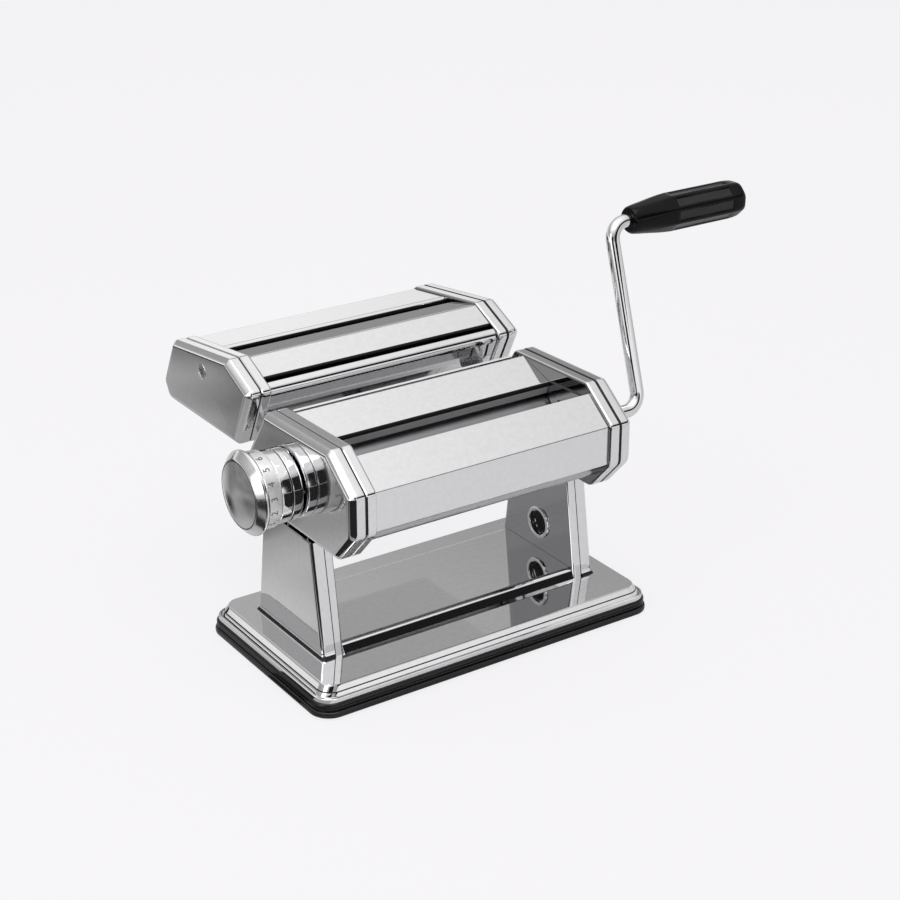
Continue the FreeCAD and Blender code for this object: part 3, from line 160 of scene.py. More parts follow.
# The grip's sunken panels: rougher than the grip, and lighter and shinier for a painted highlight
gripPanelHighlight = makeMaterial("gripPanelHighlight", (0.012, 0.012, 0.0125), 0.0, 0.22, 0.25, 0.05, 0.4)
bushWhite = makeMaterial("bushWhite", (0.82, 0.82, 0.8), 0.0, 0.45, 0.2, 0.0)
# A grey satin copy of the chrome for runs of the covers: painted shade
satinPaintedShade = makeMaterial("satinPaintedShade", (0.72, 0.72, 0.73), 0.25, 0.3, 0.2, 0.05)
gearSteel = makeMaterial("gearSteel", (0.5, 0.5, 0.5), 1.0, 0.3, 0.2, 0.0)
dialSilver = makeMaterial("dialSilver", (0.86, 0.86, 0.86), 0.6, 0.3, 0.15, 0.0)
# A dark copy of the steel for the rollers: painted shade inside the machine
rollerPaintedShade = makeMaterial("rollerPaintedShade", (0.3, 0.3, 0.31), 1.0, 0.32, 0.2, 0.02)
# Side and cutter frames: chrome with painted shade on the inner faces of their webs
frameChromeWebShade = makeMaterial("frameChromeWebShade", (0.86, 0.86, 0.87), 1.0, 0.035, 0.06, 0.04, webShadeX=0.0751)
digitGrey = makeMaterial("digitGrey", (0.12, 0.12, 0.12), 0.0, 0.5, 0.1, 0.0)
slotMaterials = {
    "chrome": chrome,
    "steel": steel,
    "black_foot": footBlack,
    "rubber": rubberAndBoreShade,
    "grip_plastic": gripBlack,
    "bush_plastic": bushWhite,
    "gear_plastic": gearSteel,
    "dial": dialSilver,
}
nodeMaterials = {
    # Rollers: the dark steel, painted shade
    "front_roller": rollerPaintedShade,
    "rear_roller": rollerPaintedShade,
    # Feed end guides: the darker chrome, painted shade
    "feed_end_guides": chromePaintedShade,
    # Frames: chrome, with painted shade on the inner faces of their webs
    "side_frame_left": frameChromeWebShade,
    "side_frame_right": frameChromeWebShade,
    "cutter_frame_left": frameChromeWebShade,
    "cutter_frame_right": frameChromeWebShade,
}
slotOf = {entry["node"]: entry["material_slot"] for entry in frame["record"]["subparts"]}
for nodeName, nodeObject in frame["nodes"].items():
    nodeObject.data.materials.clear()
    nodeObject.data.materials.append(nodeMaterials.get(nodeName, slotMaterials[slotOf[nodeName]]))
print("stage: materials")

# Camera at the photograph's view
cameraSpot = Vector((-0.5550, -0.8383, 0.5520))
cameraForward = Vector((0.5122, 0.7571, -0.4055))
cameraData = bpy.data.cameras.new("camera")
cameraData.sensor_width = 36
cameraData.lens = 79.84
cameraData.clip_start = 0.05
cameraData.clip_end = 50
camera = bpy.data.objects.new("camera", cameraData)
camera.location = cameraSpot
camera.rotation_mode = "QUATERNION"
camera.rotation_quaternion = cameraForward.to_track_quat("-Z", "Y")
bpy.context.scene.collection.objects.link(camera)
bpy.context.scene.camera = camera
bpy.context.scene.view_settings.view_transform = "Standard"


# World: white to the camera, a bright studio with darker bands to polished metal
backdropTint = (0.955, 0.94, 0.96, 1)
worldStops = (
    (0.0, 0.85), (0.5, 0.95), (0.6, 0.95), (0.64, 0.38), (0.7, 0.36),
    (0.735, 0.46), (0.77, 0.44), (0.85, 0.97), (1.0, 1.0),
)


def makeWorld():
    world = bpy.data.worlds.new("studio")
    bpy.context.scene.world = world
    world.use_nodes = True
    tree = world.node_tree
    tree.nodes.clear()
    link = tree.links.new
    out = tree.nodes.new("ShaderNodeOutputWorld")
    path = tree.nodes.new("ShaderNodeLightPath")
    coords = tree.nodes.new("ShaderNodeTexCoord")
    split = tree.nodes.new("ShaderNodeSeparateXYZ")
    link(coords.outputs["Generated"], split.inputs["Vector"])
    ramp = tree.nodes.new("ShaderNodeValToRGB")
    elements = ramp.color_ramp.elements
    while len(elements) < len(worldStops):
        elements.new(0.5)
    for element, (position, value) in zip(elements, worldStops):
        element.position = position
        element.color = (value, value, value, 1)
    half = addNode(tree, "ShaderNodeMath", operation="MULTIPLY_ADD")
    half.inputs[1].default_value = 0.5
    half.inputs[2].default_value = 0.5
    link(split.outputs["Z"], half.inputs[0])
    link(half.outputs[0], ramp.inputs["Fac"])
    plain = addNode(tree, "ShaderNodeBackground", Color=(1, 1, 1, 1), Strength=0.55)
    white = addNode(tree, "ShaderNodeBackground", Color=backdropTint, Strength=1.0)
    shine = addNode(tree, "ShaderNodeBackground", Strength=1.0)
    side = addNode(tree, "ShaderNodeMapRange", From_Min=0.45, From_Max=0.62, To_Min=1.05, To_Max=0.8)
    link(split.outputs["X"], side.inputs["Value"])
    fall = addNode(tree, "ShaderNodeVectorMath", operation="SCALE")
    link(ramp.outputs["Color"], fall.inputs[0])
    link(side.outputs["Result"], fall.inputs["Scale"])
    link(fall.outputs["Vector"], shine.inputs["Color"])
    first = tree.nodes.new("ShaderNodeMixShader")
    link(path.outputs["Is Glossy Ray"], first.inputs["Fac"])
    link(plain.outputs[0], first.inputs[1])
    link(shine.outputs[0], first.inputs[2])
    second = tree.nodes.new("ShaderNodeMixShader")
    link(path.outputs["Is Camera Ray"], second.inputs["Fac"])
    link(first.outputs[0], second.inputs[1])
    link(white.outputs[0], second.inputs[2])
    link(second.outputs[0], out.inputs["Surface"])


# Corners of a card that lies flat, and of one that stands on a line
def flatCorners(x0, x1, y0, y1, z):
    return [(x0, y0, z), (x1, y0, z), (x1, y1, z), (x0, y1, z)]


def uprightCorners(start, end, low, high):
    return [(*start, low), (*end, low), (*end, high), (*start, high)]


# The floor glows for the camera by a share, and the rest of it takes the shadow
floorReach, floorZ, floorShare = 8, -0.0002, 0.86


def makeFloor():
    mesh = bpy.data.meshes.new("floor")
    corners = flatCorners(-floorReach, floorReach, -floorReach, floorReach, floorZ)
    mesh.from_pydata(corners, [], [(0, 1, 2, 3)])
    floor = bpy.data.objects.new("floor", mesh)
    bpy.context.scene.collection.objects.link(floor)
    material = bpy.data.materials.new("paleFloor")
    material.use_nodes = True
    tree = material.node_tree
    shader = tree.nodes["Principled BSDF"]
    shader.inputs["Base Color"].default_value = (0.86, 0.85, 0.865, 1)
    shader.inputs["Roughness"].default_value = 0.9
    shader.inputs["Specular IOR Level"].default_value = 0.0
    glow = addNode(tree, "ShaderNodeEmission", Color=backdropTint, Strength=1.0)
    path = tree.nodes.new("ShaderNodeLightPath")
    share = addNode(tree, "ShaderNodeMath", operation="MULTIPLY")
    share.inputs[1].default_value = floorShare
    tree.links.new(path.outputs["Is Camera Ray"], share.inputs[0])
    mix = tree.nodes.new("ShaderNodeMixShader")
    tree.links.new(share.outputs[0], mix.inputs["Fac"])
    tree.links.new(shader.outputs[0], mix.inputs[1])
    tree.links.new(glow.outputs[0], mix.inputs[2])
    tree.links.new(mix.outputs[0], tree.nodes["Material Output"].inputs["Surface"])
    mesh.materials.append(material)


def addLamp(name, spot, target, sizes, power):
    data = bpy.data.lights.new(name, "AREA")
    data.shape = "RECTANGLE"
    data.size, data.size_y = sizes
    data.energy = power
    lamp = bpy.data.objects.new(name, data)
    lamp.location = spot
    lamp.rotation_mode = "QUATERNION"
    lamp.rotation_quaternion = (Vector(target) - Vector(spot)).to_track_quat("-Z", "Y")
    bpy.context.scene.collection.objects.link(lamp)


# Cards that only polished surfaces see, as a photographer sets them round bright metal
cloud = {
    "scale": 8.0, "low": 0.3, "high": 0.7,
    "farX": -0.27, "nearX": -0.12, "farTone": 0.72, "nearTone": 1.4,
}
spotCore = 0.25


def addCard(name, corners, tone, spread=0, spot=None):
    mesh = bpy.data.meshes.new(name)
    mesh.from_pydata(corners, [], [(0, 1, 2, 3)])
    card = bpy.data.objects.new(name, mesh)
    bpy.context.scene.collection.objects.link(card)
    material = bpy.data.materials.new(name)
    material.use_nodes = True
    tree = material.node_tree
    glow = addNode(tree, "ShaderNodeEmission", Color=(tone, tone, tone, 1), Strength=1.0)
    tree.links.new(glow.outputs[0], tree.nodes["Material Output"].inputs["Surface"])
    if spread:
        coords = tree.nodes.new("ShaderNodeTexCoord")
        noise = addNode(tree, "ShaderNodeTexNoise", Scale=cloud["scale"], Detail=1.0)
        tree.links.new(coords.outputs["Object"], noise.inputs["Vector"])
        limits = {"From_Min": cloud["low"], "From_Max": cloud["high"], "To_Min": -spread, "To_Max": spread}
        blend = addNode(tree, "ShaderNodeMapRange", **limits)
        tree.links.new(noise.outputs["Fac"], blend.inputs["Value"])
        split = tree.nodes.new("ShaderNodeSeparateXYZ")
        tree.links.new(coords.outputs["Object"], split.inputs["Vector"])
        tones = {"To_Min": tone * cloud["farTone"], "To_Max": tone * cloud["nearTone"]}
        near = addNode(tree, "ShaderNodeMapRange", From_Min=cloud["farX"], From_Max=cloud["nearX"], **tones)
        tree.links.new(split.outputs["X"], near.inputs["Value"])
        total = addNode(tree, "ShaderNodeMath", operation="ADD")
        tree.links.new(blend.outputs["Result"], total.inputs[0])
        tree.links.new(near.outputs["Result"], total.inputs[1])
        tree.links.new(total.outputs[0], glow.inputs["Color"])
    if spot:
        coords = tree.nodes.new("ShaderNodeTexCoord")
        away = addNode(tree, "ShaderNodeVectorMath", operation="DISTANCE")
        away.inputs[1].default_value = (spot[0], spot[1], corners[0][2])
        tree.links.new(coords.outputs["Object"], away.inputs[0])
        fade = addNode(tree, "ShaderNodeMapRange", From_Min=spot[2] * spotCore, From_Max=spot[2])
        tree.links.new(away.outputs["Value"], fade.inputs["Value"])
        clear = tree.nodes.new("ShaderNodeBsdfTransparent")
        mix = tree.nodes.new("ShaderNodeMixShader")
        tree.links.new(fade.outputs["Result"], mix.inputs["Fac"])
        tree.links.new(glow.outputs[0], mix.inputs[1])
        tree.links.new(clear.outputs[0], mix.inputs[2])
        tree.links.new(mix.outputs[0], tree.nodes["Material Output"].inputs["Surface"])
    mesh.materials.append(material)
    card.visible_camera = False
    card.visible_diffuse = False
    card.visible_shadow = False


makeWorld()
makeFloor()
addCard("frontCard", uprightCorners((-0.1, -1.7), (1.9, -0.5), 0.47, 1.0), 0.012)
addCard("nearCard", uprightCorners((-1.3, -0.95), (-0.62, -1.29), 0.03, 1.0), 0.015)
addCard("leftCard", flatCorners(-1.4, -0.1112, -0.3, 1.6, 0.001), 0.34, 0.15)
stripZ = 0.002
stripCorners = [(-0.7, -0.09), (-0.1113, -0.04), (-0.1113, -0.005), (-0.7, 0.03)]
addCard("leftStrip", [(*corner, stripZ) for corner in stripCorners], 0.02)
addCard("backCard", uprightCorners((-1.9, 0.9), (-0.25, 1.75), 0.04, 0.33), 0.02)
addCard("farCard", uprightCorners((0.2, 2.1), (2.4, 1.3), 0.05, 0.3), 0.3)
# A dark patch on the floor, fading at its edge, that only polished surfaces see: a painted shadow reflected
# in the knob cap
addCard("paintedShadowCard", flatCorners(-0.215, -0.1115, 0.125, 0.255, 0.003), 0.01, 0, (-0.150, 0.190, 0.055))
addCard("nearFloor", flatCorners(-1.1, -0.125, -1.3, -0.1, 0.0015), 0.02)
# A glowing grey sheet under the cutter unit that only polished surfaces see: painted shade in place of its
# underside
addCard("underShadeCard", flatCorners(-0.092, 0.092, 0.05, 0.148, 0.1085), 0.4)
addLamp("topSoftbox", (-0.2, -0.2, 1.6), (0, 0, 0.1), (1.2, 1.2), 9)
addLamp("leftSoftbox", (-1.4, -0.3, 0.7), (0, 0, 0.1), (0.6, 1.0), 4)
print("stage: camera, world and lamps")

# Shapes: lofts through rings of points, sheets bent along a path, and turned pieces
smoothAngle = math.radians(32)
mergeDistance = 1e-7
smallestRadius = 0.25


def circleAngles(count):
    return [2 * math.pi * step / count for step in range(count)]


def finishPiece(name, bm, body, nodes, material, second=None):
    bmesh.ops.remove_doubles(bm, verts=bm.verts[:], dist=mergeDistance)
    bmesh.ops.recalc_face_normals(bm, faces=bm.faces[:])
    if bm.calc_volume(signed=True) < 0:
        bmesh.ops.reverse_faces(bm, faces=bm.faces[:])
    mesh = bpy.data.meshes.new(name)
    bm.to_mesh(mesh)
    bm.free()
    mesh.polygons.foreach_set("use_smooth", [True] * len(mesh.polygons))
    mesh.set_sharp_from_angle(angle=smoothAngle)
    mesh.materials.append(material)
    if second:
        mesh.materials.append(second)
    piece = bpy.data.objects.new(name, mesh)
    bpy.context.scene.collection.objects.link(piece)
    piece.modifiers.new("evenShading", "WEIGHTED_NORMAL").keep_sharp = True
    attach(piece, body)
    if nodes:
        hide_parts(*nodes)
    return piece


# A corner of an outline, the runs into and out of it, and the directions to their left
def cornerRuns(points, number):
    before, here, after = (Vector(points[(number + k) % len(points)]) for k in (-1, 0, 1))
    runIn, runOut = (here - before).normalized(), (after - here).normalized()
    return here, runIn, runOut, Vector((-runIn.y, runIn.x)), Vector((-runOut.y, runOut.x))


# One ring of a convex outline moved inwards, its corners rounded in equal steps
def outlineRing(points, radii, inset, steps=6):
    ring = []
    for number in range(len(points)):
        here, runIn, runOut, leftIn, leftOut = cornerRuns(points, number)
        mitre = (leftIn + leftOut) / (1 + leftIn.dot(leftOut))
        radius = max(radii[number] - inset, smallestRadius)
        centre = here + mitre * (inset + radius)
        start = math.atan2(-leftIn.y, -leftIn.x)
        turn = math.atan2(runIn.cross(runOut), runIn.dot(runOut))
        for step in range(steps + 1):
            angle = start + turn * step / steps
            ring.append(centre + Vector((math.cos(angle), math.sin(angle))) * radius)
    return ring


def loopEdges(bm, loop):
    return [bm.edges.get((loop[k], loop[(k + 1) % len(loop)])) for k in range(len(loop))]


# Each ring is extruded from the one before it and moved into place
def loftRings(bm, rings, dark=()):
    loop = [bm.verts.new(point) for point in rings[0]]
    for number, vertex in enumerate(loop):
        bm.edges.new((vertex, loop[(number + 1) % len(loop)]))
    loops = [loop]
    for band, ring in enumerate(rings[1:]):
        made = bmesh.ops.extrude_edge_only(bm, edges=loopEdges(bm, loop))["geom"]
        fresh = {item for item in made if isinstance(item, bmesh.types.BMVert)}
        partners = [[edge.other_vert(vertex) for edge in vertex.link_edges] for vertex in loop]
        loop = [next(other for other in others if other in fresh) for others in partners]
        for vertex, point in zip(loop, ring):
            vertex.co = point
        # Bands listed in dark take the second material, which the pieces use for painted shade
        for item in made:
            if isinstance(item, bmesh.types.BMFace):
                item.material_index = 1 if band in dark else 0
        loops.append(loop)
    return loops


# A round hole's mouth and wall, sunk along a direction
holeSides = 40


def sinkHole(bm, centre, radius, direction, depth):
    ring = [Vector((0, math.cos(angle), math.sin(angle))) * radius for angle in circleAngles(holeSides)]
    mouth = [Vector(centre) + point for point in ring]
    wall = [point + Vector(direction) * depth for point in mouth]
    return loftRings(bm, [mouth, wall])


def fillFace(bm, loop, holes=()):
    edges = loopEdges(bm, loop)
    if not holes:
        bmesh.ops.edgeloop_fill(bm, edges=edges)
        return
    for hole in holes:
        edges += loopEdges(bm, hole)
    bmesh.ops.triangle_fill(bm, edges=edges, use_beauty=True)


def loftSolid(bm, rings, dark=()):
    loops = loftRings(bm, rings, dark)
    fillFace(bm, loops[0])
    fillFace(bm, loops[-1])


# A sheet bent along a path in Y and Z; inner lists the runs that take another material: painted shade,
# near-black where the sheets turn down into slots and grey satin on the front cover's lip and the back
# guide's lowest run
sheet = {
    "thick": 1.2, "edge": 0.22, "bendSteps": 8, "clear": 0.2,
    "paintFrom": 0.04, "paintTo": 1.05, "paintReach": 2,
}


def isOnRun(spot, start, end):
    run = end - start
    along = (spot - start).dot(run) / run.length_squared
    near = abs(run.normalized().cross(spot - start)) < sheet["paintReach"]
    return sheet["paintFrom"] < along < sheet["paintTo"] and near


def sheetPiece(name, path, bends, span, body, nodes, material, inner=()):
    thickness, edge, steps = sheet["thick"], sheet["edge"], sheet["bendSteps"]
    points = [Vector(p) for p in path]
    line, normals = [], []
    for number, here in enumerate(points):
        runs = []
        if number:
            runs.append((here - points[number - 1]).normalized())
        if number < len(points) - 1:
            runs.append((points[number + 1] - here).normalized())
        lefts = [Vector((-run.y, run.x)) for run in runs]
        if len(runs) == 1:
            line.append(here)
            normals.append(lefts[0])
            continue
        turn = math.atan2(runs[0].cross(runs[1]), runs[0].dot(runs[1]))
        side = 1 if turn > 0 else -1
        inside = max(bends[number] - thickness, sheet["clear"])
        radius = max(bends[number], thickness + sheet["clear"]) if side > 0 else inside
        mitre = (lefts[0] + lefts[1]) / (1 + lefts[0].dot(lefts[1]))
        centre = here + mitre * radius * side
        start = math.atan2(-lefts[0].y * side, -lefts[0].x * side)
        for step in range(steps + 1):
            angle = start + turn * step / steps
            spoke = Vector((math.cos(angle), math.sin(angle)))
            line.append(centre + spoke * radius)
            normals.append(-spoke * side)
    lower = [p + n * edge for p, n in zip(line, normals)]
    section = line + [p + n * thickness for p, n in zip(line, normals)][::-1]
    tucked = lower + [p + n * (thickness - edge) for p, n in zip(line, normals)][::-1]
    bm = bmesh.new()
    x0, x1 = span
    levels = ((x0, tucked), (x0 + edge, section), (x1 - edge, section), (x1, tucked))
    rings = [[Vector((x, p.x, p.y)) * mm for p in ring] for x, ring in levels]
    loftSolid(bm, rings)
    piece = finishPiece(name, bm, body, nodes, material)
    # Listed runs take painted shade: index 1 near-black, index 2 grey satin
    if inner:
        piece.data.materials.append(paintedShadeSteel)
        piece.data.materials.append(satinPaintedShade)
        for face in piece.data.polygons:
            spot = Vector((face.center.y, face.center.z)) / mm
            for start, end, index in inner:
                if isOnRun(spot, start, end):
                    face.material_index = index


# A profile of (x, radius) points spun round an axis along X
def spinProfile(bm, profile, axis, segments, side=1):
    points = [bm.verts.new(Vector((side * x, axis[0] + radius, axis[1])) * mm) for x, radius in profile]
    edges = [bm.edges.new(pair) for pair in zip(points, points[1:])]
    centre = Vector((0, axis[0], axis[1])) * mm
    bmesh.ops.spin(
        bm, geom=points + edges, cent=centre, axis=(1, 0, 0), dvec=(0, 0, 0),
        angle=2 * math.pi, steps=segments, use_merge=True, use_duplicate=False,
    )
    bmesh.ops.remove_doubles(bm, verts=bm.verts[:], dist=mergeDistance)


def turnedPiece(name, profile, axis, body, nodes, material, segments=128, dark=()):
    bm = bmesh.new()
    spinProfile(bm, profile, axis, segments)
    middles = [(Vector(low) + Vector(high)) / 2 for low, high in zip(profile, profile[1:])]
    for face in bm.faces:
        spot = face.calc_center_median() / mm
        place = Vector((spot.x, Vector((spot.y - axis[0], spot.z - axis[1])).length))
        nearest = min(range(len(middles)), key=lambda band: (middles[band] - place).length)
        face.material_index = 1 if nearest in dark else 0
    bmesh.ops.holes_fill(bm, edges=[edge for edge in bm.edges if edge.is_boundary], sides=segments)
    finishPiece(name, bm, body, nodes, material, paintedShadeSteel if dark else None)


# Base: a ribbed black foot under a pressed tray
def rectRing(halfX, halfY, radius, z, steps=10):
    corners = [(-halfX, -halfY), (halfX, -halfY), (halfX, halfY), (-halfX, halfY)]
    return [Vector((p.x, p.y, z)) * mm for p in outlineRing(corners, [radius] * 4, 0, steps)]


foot = {
    "halfX": 111,
    "halfY": 63,
    "corner": 12,
    "under": ((4, 5.0), (4, 0.8)),
    "side": (
        (0.7, 0.8), (0.15, 1.1), (0, 1.7), (0, 3.1), (0.25, 3.8), (0.8, 4.2), (1.7, 4.4),
        (1.95, 4.7), (1.7, 5.0), (1.1, 5.2), (0.9, 5.5), (0.9, 6.2), (1.3, 6.4), (1.3, 6.65),
        (0.9, 6.85), (0.9, 7.7), (1.15, 8.4), (1.7, 8.85), (2.4, 9),
    ),
    "pads": [(x, y) for x in (-91, 91) for y in (-43, 43)] + [(0, 0)],
    "padRadius": 7,
    "padSides": 32,
    "padLevels": (5.0, 0.8),
}


def makeFoot():
    bm = bmesh.new()
    rings = []
    for inset, z in foot["under"] + foot["side"]:
        rings.append(rectRing(foot["halfX"] - inset, foot["halfY"] - inset, foot["corner"] - inset, z))
    loftSolid(bm, rings)
    radius = foot["padRadius"]
    angles = circleAngles(foot["padSides"])
    for x, y in foot["pads"]:
        rings = []
        spots = [(x + radius * math.cos(a), y + radius * math.sin(a)) for a in angles]
        for z in foot["padLevels"]:
            rings.append([Vector((*spot, z)) * mm for spot in spots])
        loftSolid(bm, rings)
    finishPiece("baseFoot", bm, "frame", ["base_foot"], footBlack)


tray = {
    "under": ((100.6, 54.6, 5.6, 15.8), (100.6, 54.6, 5.6, 9)),
    "outer": (
        (109, 61, 10.0, 9), (109, 61, 10.0, 10.7), (108.85, 60.85, 9.9, 11.1),
        (108.5, 60.5, 9.6, 11.35), (107.8, 59.9, 9.3, 11.45), (107.5, 59.5, 9.2, 11.2),
        (107.1, 59.15, 9.0, 11.2), (106.9, 58.95, 9.0, 11.6), (105.9, 58.5, 8.8, 13.1),
        (105.5, 58.3, 8.7, 13.3), (105.4, 58.2, 8.7, 13.6), (105.6, 58.3, 8.7, 13.8),
        (104.1, 57.6, 8.4, 16.0), (103.8, 57.4, 8.2, 16.45), (103.4, 57.2, 8.0, 16.85),
        (102.9, 56.9, 7.8, 17),
    ),
    # Bands listed under dark take the near-black: painted shade in the tray's grooves
    "dark": (6, 10, 11),
}


def makeTray():
    bm = bmesh.new()
    loftSolid(bm, [rectRing(*row) for row in tray["under"] + tray["outer"]], tray["dark"])
    finishPiece("baseTray", bm, "frame", ["base_tray"], chromeSoft, paintedShadeSteel)


makeFoot()
makeTray()
print("stage: base")

# Stand: an arched floor between two legs, each made of an inner and an outer channel
clampAxis = (3.8, 39.3)
stand = {
    "low": 17, "high": 82, "front": (-31, -21), "back": (39.5, 30.5),
    "sheet": 1.2, "bendSteps": 8, "leastBend": 0.3,
    "inner": (82.55, 77.5, 1.6), "outer": (83.05, 90.6, 2.4), "betweenX": 80, "shadeX": 77.6,
    "boreRadius": 8.5, "boreSides": 48, "flatReach": 1e-5, "flatArea": 1e-3,
    "floor": [(39.5, 17.1), (36.5, 22.5), (-28, 22.5), (-31, 17.1)], "floorBend": 4, "floorHalf": 77.45,
    "flare": ((17, 1.3), (17.35, 1.0), (17.8, 0.6), (18.5, 0.25), (19.6, 0.05), (20.6, 0), (82, 0)),
}


def channelRing(side, z, flare, openX, faceX, bend):
    part = (z - stand["low"]) / (stand["high"] - stand["low"])
    front = stand["front"][0] + (stand["front"][1] - stand["front"][0]) * part
    back = stand["back"][0] + (stand["back"][1] - stand["back"][0]) * part
    away = 1 if faceX > openX else -1
    front, back, faceX = front - flare, back + flare, faceX + away * flare
    outer, inner = [(openX, front)], [(openX, front + stand["sheet"])]
    for y, sign in ((front, 1), (back, -1)):
        for path, radius in ((outer, bend), (inner, max(bend - stand["sheet"], stand["leastBend"]))):
            middle = (faceX - away * bend, y + sign * bend)
            turns = [k / stand["bendSteps"] for k in range(stand["bendSteps"] + 1)]
            for turn in turns if sign > 0 else turns[::-1]:
                angle = turn * math.pi / 2
                x = middle[0] + away * radius * math.sin(angle)
                path.append((x, middle[1] - sign * radius * math.cos(angle)))
    outer.append((openX, back))
    inner.append((openX, back - stand["sheet"]))
    return [Vector((side * x, y, z)) * mm for x, y in outer + inner[::-1]]


# The clamp's bore, cut through a channel's flat face and lined
def pierce(bm, side, faceX):
    (y, z), radius = clampAxis, stand["boreRadius"]
    away = 1 if faceX > stand["betweenX"] else -1
    angles = circleAngles(stand["boreSides"])
    spots = [(y + radius * math.cos(a), z + radius * math.sin(a)) for a in angles]
    flats, rings = [], []
    for x in (faceX, faceX - away * stand["sheet"]):
        level = [f for f in bm.faces if abs(f.calc_center_median().x - side * x * mm) < stand["flatReach"]]
        near = [f for f in level if f.calc_area() > stand["flatArea"]]
        flats.append(list(near[0].verts))
        bmesh.ops.delete(bm, geom=near, context="FACES_ONLY")
        rings.append([Vector((side * x, *spot)) * mm for spot in spots])
    for loop, hole in zip(flats, loftRings(bm, rings)):
        fillFace(bm, loop, [hole])


def makeChannel(bm, side, openX, faceX, bend):
    flared = faceX > stand["betweenX"]
    rows = stand["flare"] if flared else ((stand["low"], 0), (stand["high"], 0))
    rings = [channelRing(side, z, flare, openX, faceX, bend) for z, flare in rows]
    # The three lowest bands of each flared outer shell take the second material: painted shadow where the
    # leg meets the tray
    loftSolid(bm, rings, (0, 1, 2) if flared else ())
    if side > 0:
        pierce(bm, side, faceX)


def makeStand():
    inside = bmesh.new()
    for sideName, side in (("Left", -1), ("Right", 1)):
        makeChannel(inside, side, *stand["inner"])
        outside = bmesh.new()
        makeChannel(outside, side, *stand["outer"])
        node = f"leg_shell_{sideName.lower()}"
        finishPiece(f"legShell{sideName}", outside, "frame", [node], chromeFlat, paintedShadeSteel)
    nodes = ["stand_saddle"]
    channels = finishPiece("legChannels", inside, "frame", nodes, chromeFlat, chromePaintedShade)
    # Channel faces that face the middle take the darker chrome: painted shade between the legs
    for face in channels.data.polygons:
        face.material_index = 1 if abs(face.center.x) / mm < stand["shadeX"] else 0
    reach = stand["floorHalf"]
    bends = [stand["floorBend"]] * len(stand["floor"])
    sheetPiece("standFloor", stand["floor"], bends, (-reach, reach), "frame", [], chromeSoft)


makeStand()
print("stage: stand")

# Cheek caps: dished pressings with a chamfered rim, and a groove where they meet the side frames; the rim's
# lowest chamfer and a thin ring in the groove are near-black, painted shade
mainOutline = (
    (27, 140.2), (-40, 142.2), (-63.5, 124.4), (-63.5, 101),
    (-46, 82), (30.5, 82), (45.5, 101), (45.5, 113),
)
mainRadii = (4, 4, 4, 7, 7, 0.3, 4, 4)
cutterOutline = ((132.5, 148.2), (67, 157), (41, 144.8), (58.3, 109.3), (140, 109.3), (146.5, 120.5))
cutterRadii = (4, 4, 4, 4, 7, 7)
capLevels = (
    (0.8, 81.4), (0.15, 82.0), (0, 82.4), (0, 86.3), (0.07, 86.9), (0.28, 87.5),
    (0.65, 88.05), (2.0, 89.35), (2.5, 89.8), (3.1, 90.2), (3.8, 90.48), (4.7, 90.6),
)
capInside = ((3.0, 88.8), (3.0, 81.4))
capShadeBands = (2, 3)
seamShadeLevels = ((1.6, 80.6), (0.5, 80.6), (0.5, 81.6), (1.6, 81.6), (1.6, 80.6))
dialAxis = (1.656, 109.4125)
crankAxis = (-25.2, 110.5)
screwHole = 3.34
capHoles = {
    "cheek_cap_left": ((*dialAxis, 6.0), (1.656, 123.9125, screwHole), (1.656, 94.9125, screwHole)),
    "cheek_cap_right": ((*crankAxis, 7.0), (-52.5, 110.5, screwHole), (30.5, 109.5, screwHole)),
    "cutter_cap_left": ((94.5, 141.4, screwHole),),
    "cutter_cap_right": ((94.5, 141.4, screwHole), (65, 127, 6.5), (118.2, 127, 6.5)),
}


def capRings(levels, side, outline, radii):
    rings = []
    for inset, x in levels:
        rings.append([Vector((side * x, p.x, p.y)) * mm for p in outlineRing(outline, radii, inset)])
    return rings


def makeCap(node, side, outline, radii, body):
    bm = bmesh.new()
    loops = loftRings(bm, capRings(capInside + capLevels, side, outline, radii), capShadeBands)
    face = capLevels[-1][1]
    depth = face - capInside[0][1]
    mouths, ends = [], []
    for y, z, radius in capHoles[node]:
        spot = Vector((side * face, y, z)) * mm
        mouth, end = sinkHole(bm, spot, radius * mm, (-side, 0, 0), depth * mm)
        mouths.append(mouth)
        ends.append(end)
    fillFace(bm, loops[-1], mouths)
    fillFace(bm, loops[0], ends)
    words = node.split("_")
    name = words[0] + "".join(word.capitalize() for word in words[1:])
    finishPiece(name, bm, body, [node], chromeWavy, paintedShadeSteel)
    # A near-black ring in the groove between cap and frame: painted shade
    bm = bmesh.new()
    loftRings(bm, capRings(seamShadeLevels, side, outline, radii))
    finishPiece(name + "Seam", bm, body, [], paintedShadeSteel)


# Raised cups round the screws of both caps of a body
cups = {"screwCups": ("frame", "cheek_cap"), "cutterScrewCups": ("cutter_unit", "cutter_cap")}
cupSides = 40
cupProfile = (
    (90.3, 3.4), (90.75, 3.5), (90.95, 3.8), (90.95, 4.2),
    (90.75, 4.6), (90.5, 4.75), (90.3, 4.75), (90.3, 3.4),
)


def makeCups(name, body, caps):
    bm = bmesh.new()
    for sideName, side in (("left", -1), ("right", 1)):
        for y, z, radius in capHoles[f"{caps}_{sideName}"]:
            if radius == screwHole:
                spinProfile(bm, cupProfile, (y, z), cupSides, side)
    finishPiece(name, bm, body, [], chrome)


for name, (body, caps) in cups.items():
    makeCups(name, body, caps)
for sideName, side in (("left", -1), ("right", 1)):
    makeCap(f"cheek_cap_{sideName}", side, mainOutline, mainRadii, "frame")
    makeCap(f"cutter_cap_{sideName}", side, cutterOutline, cutterRadii, "cutter_unit")
print("stage: cheek caps")

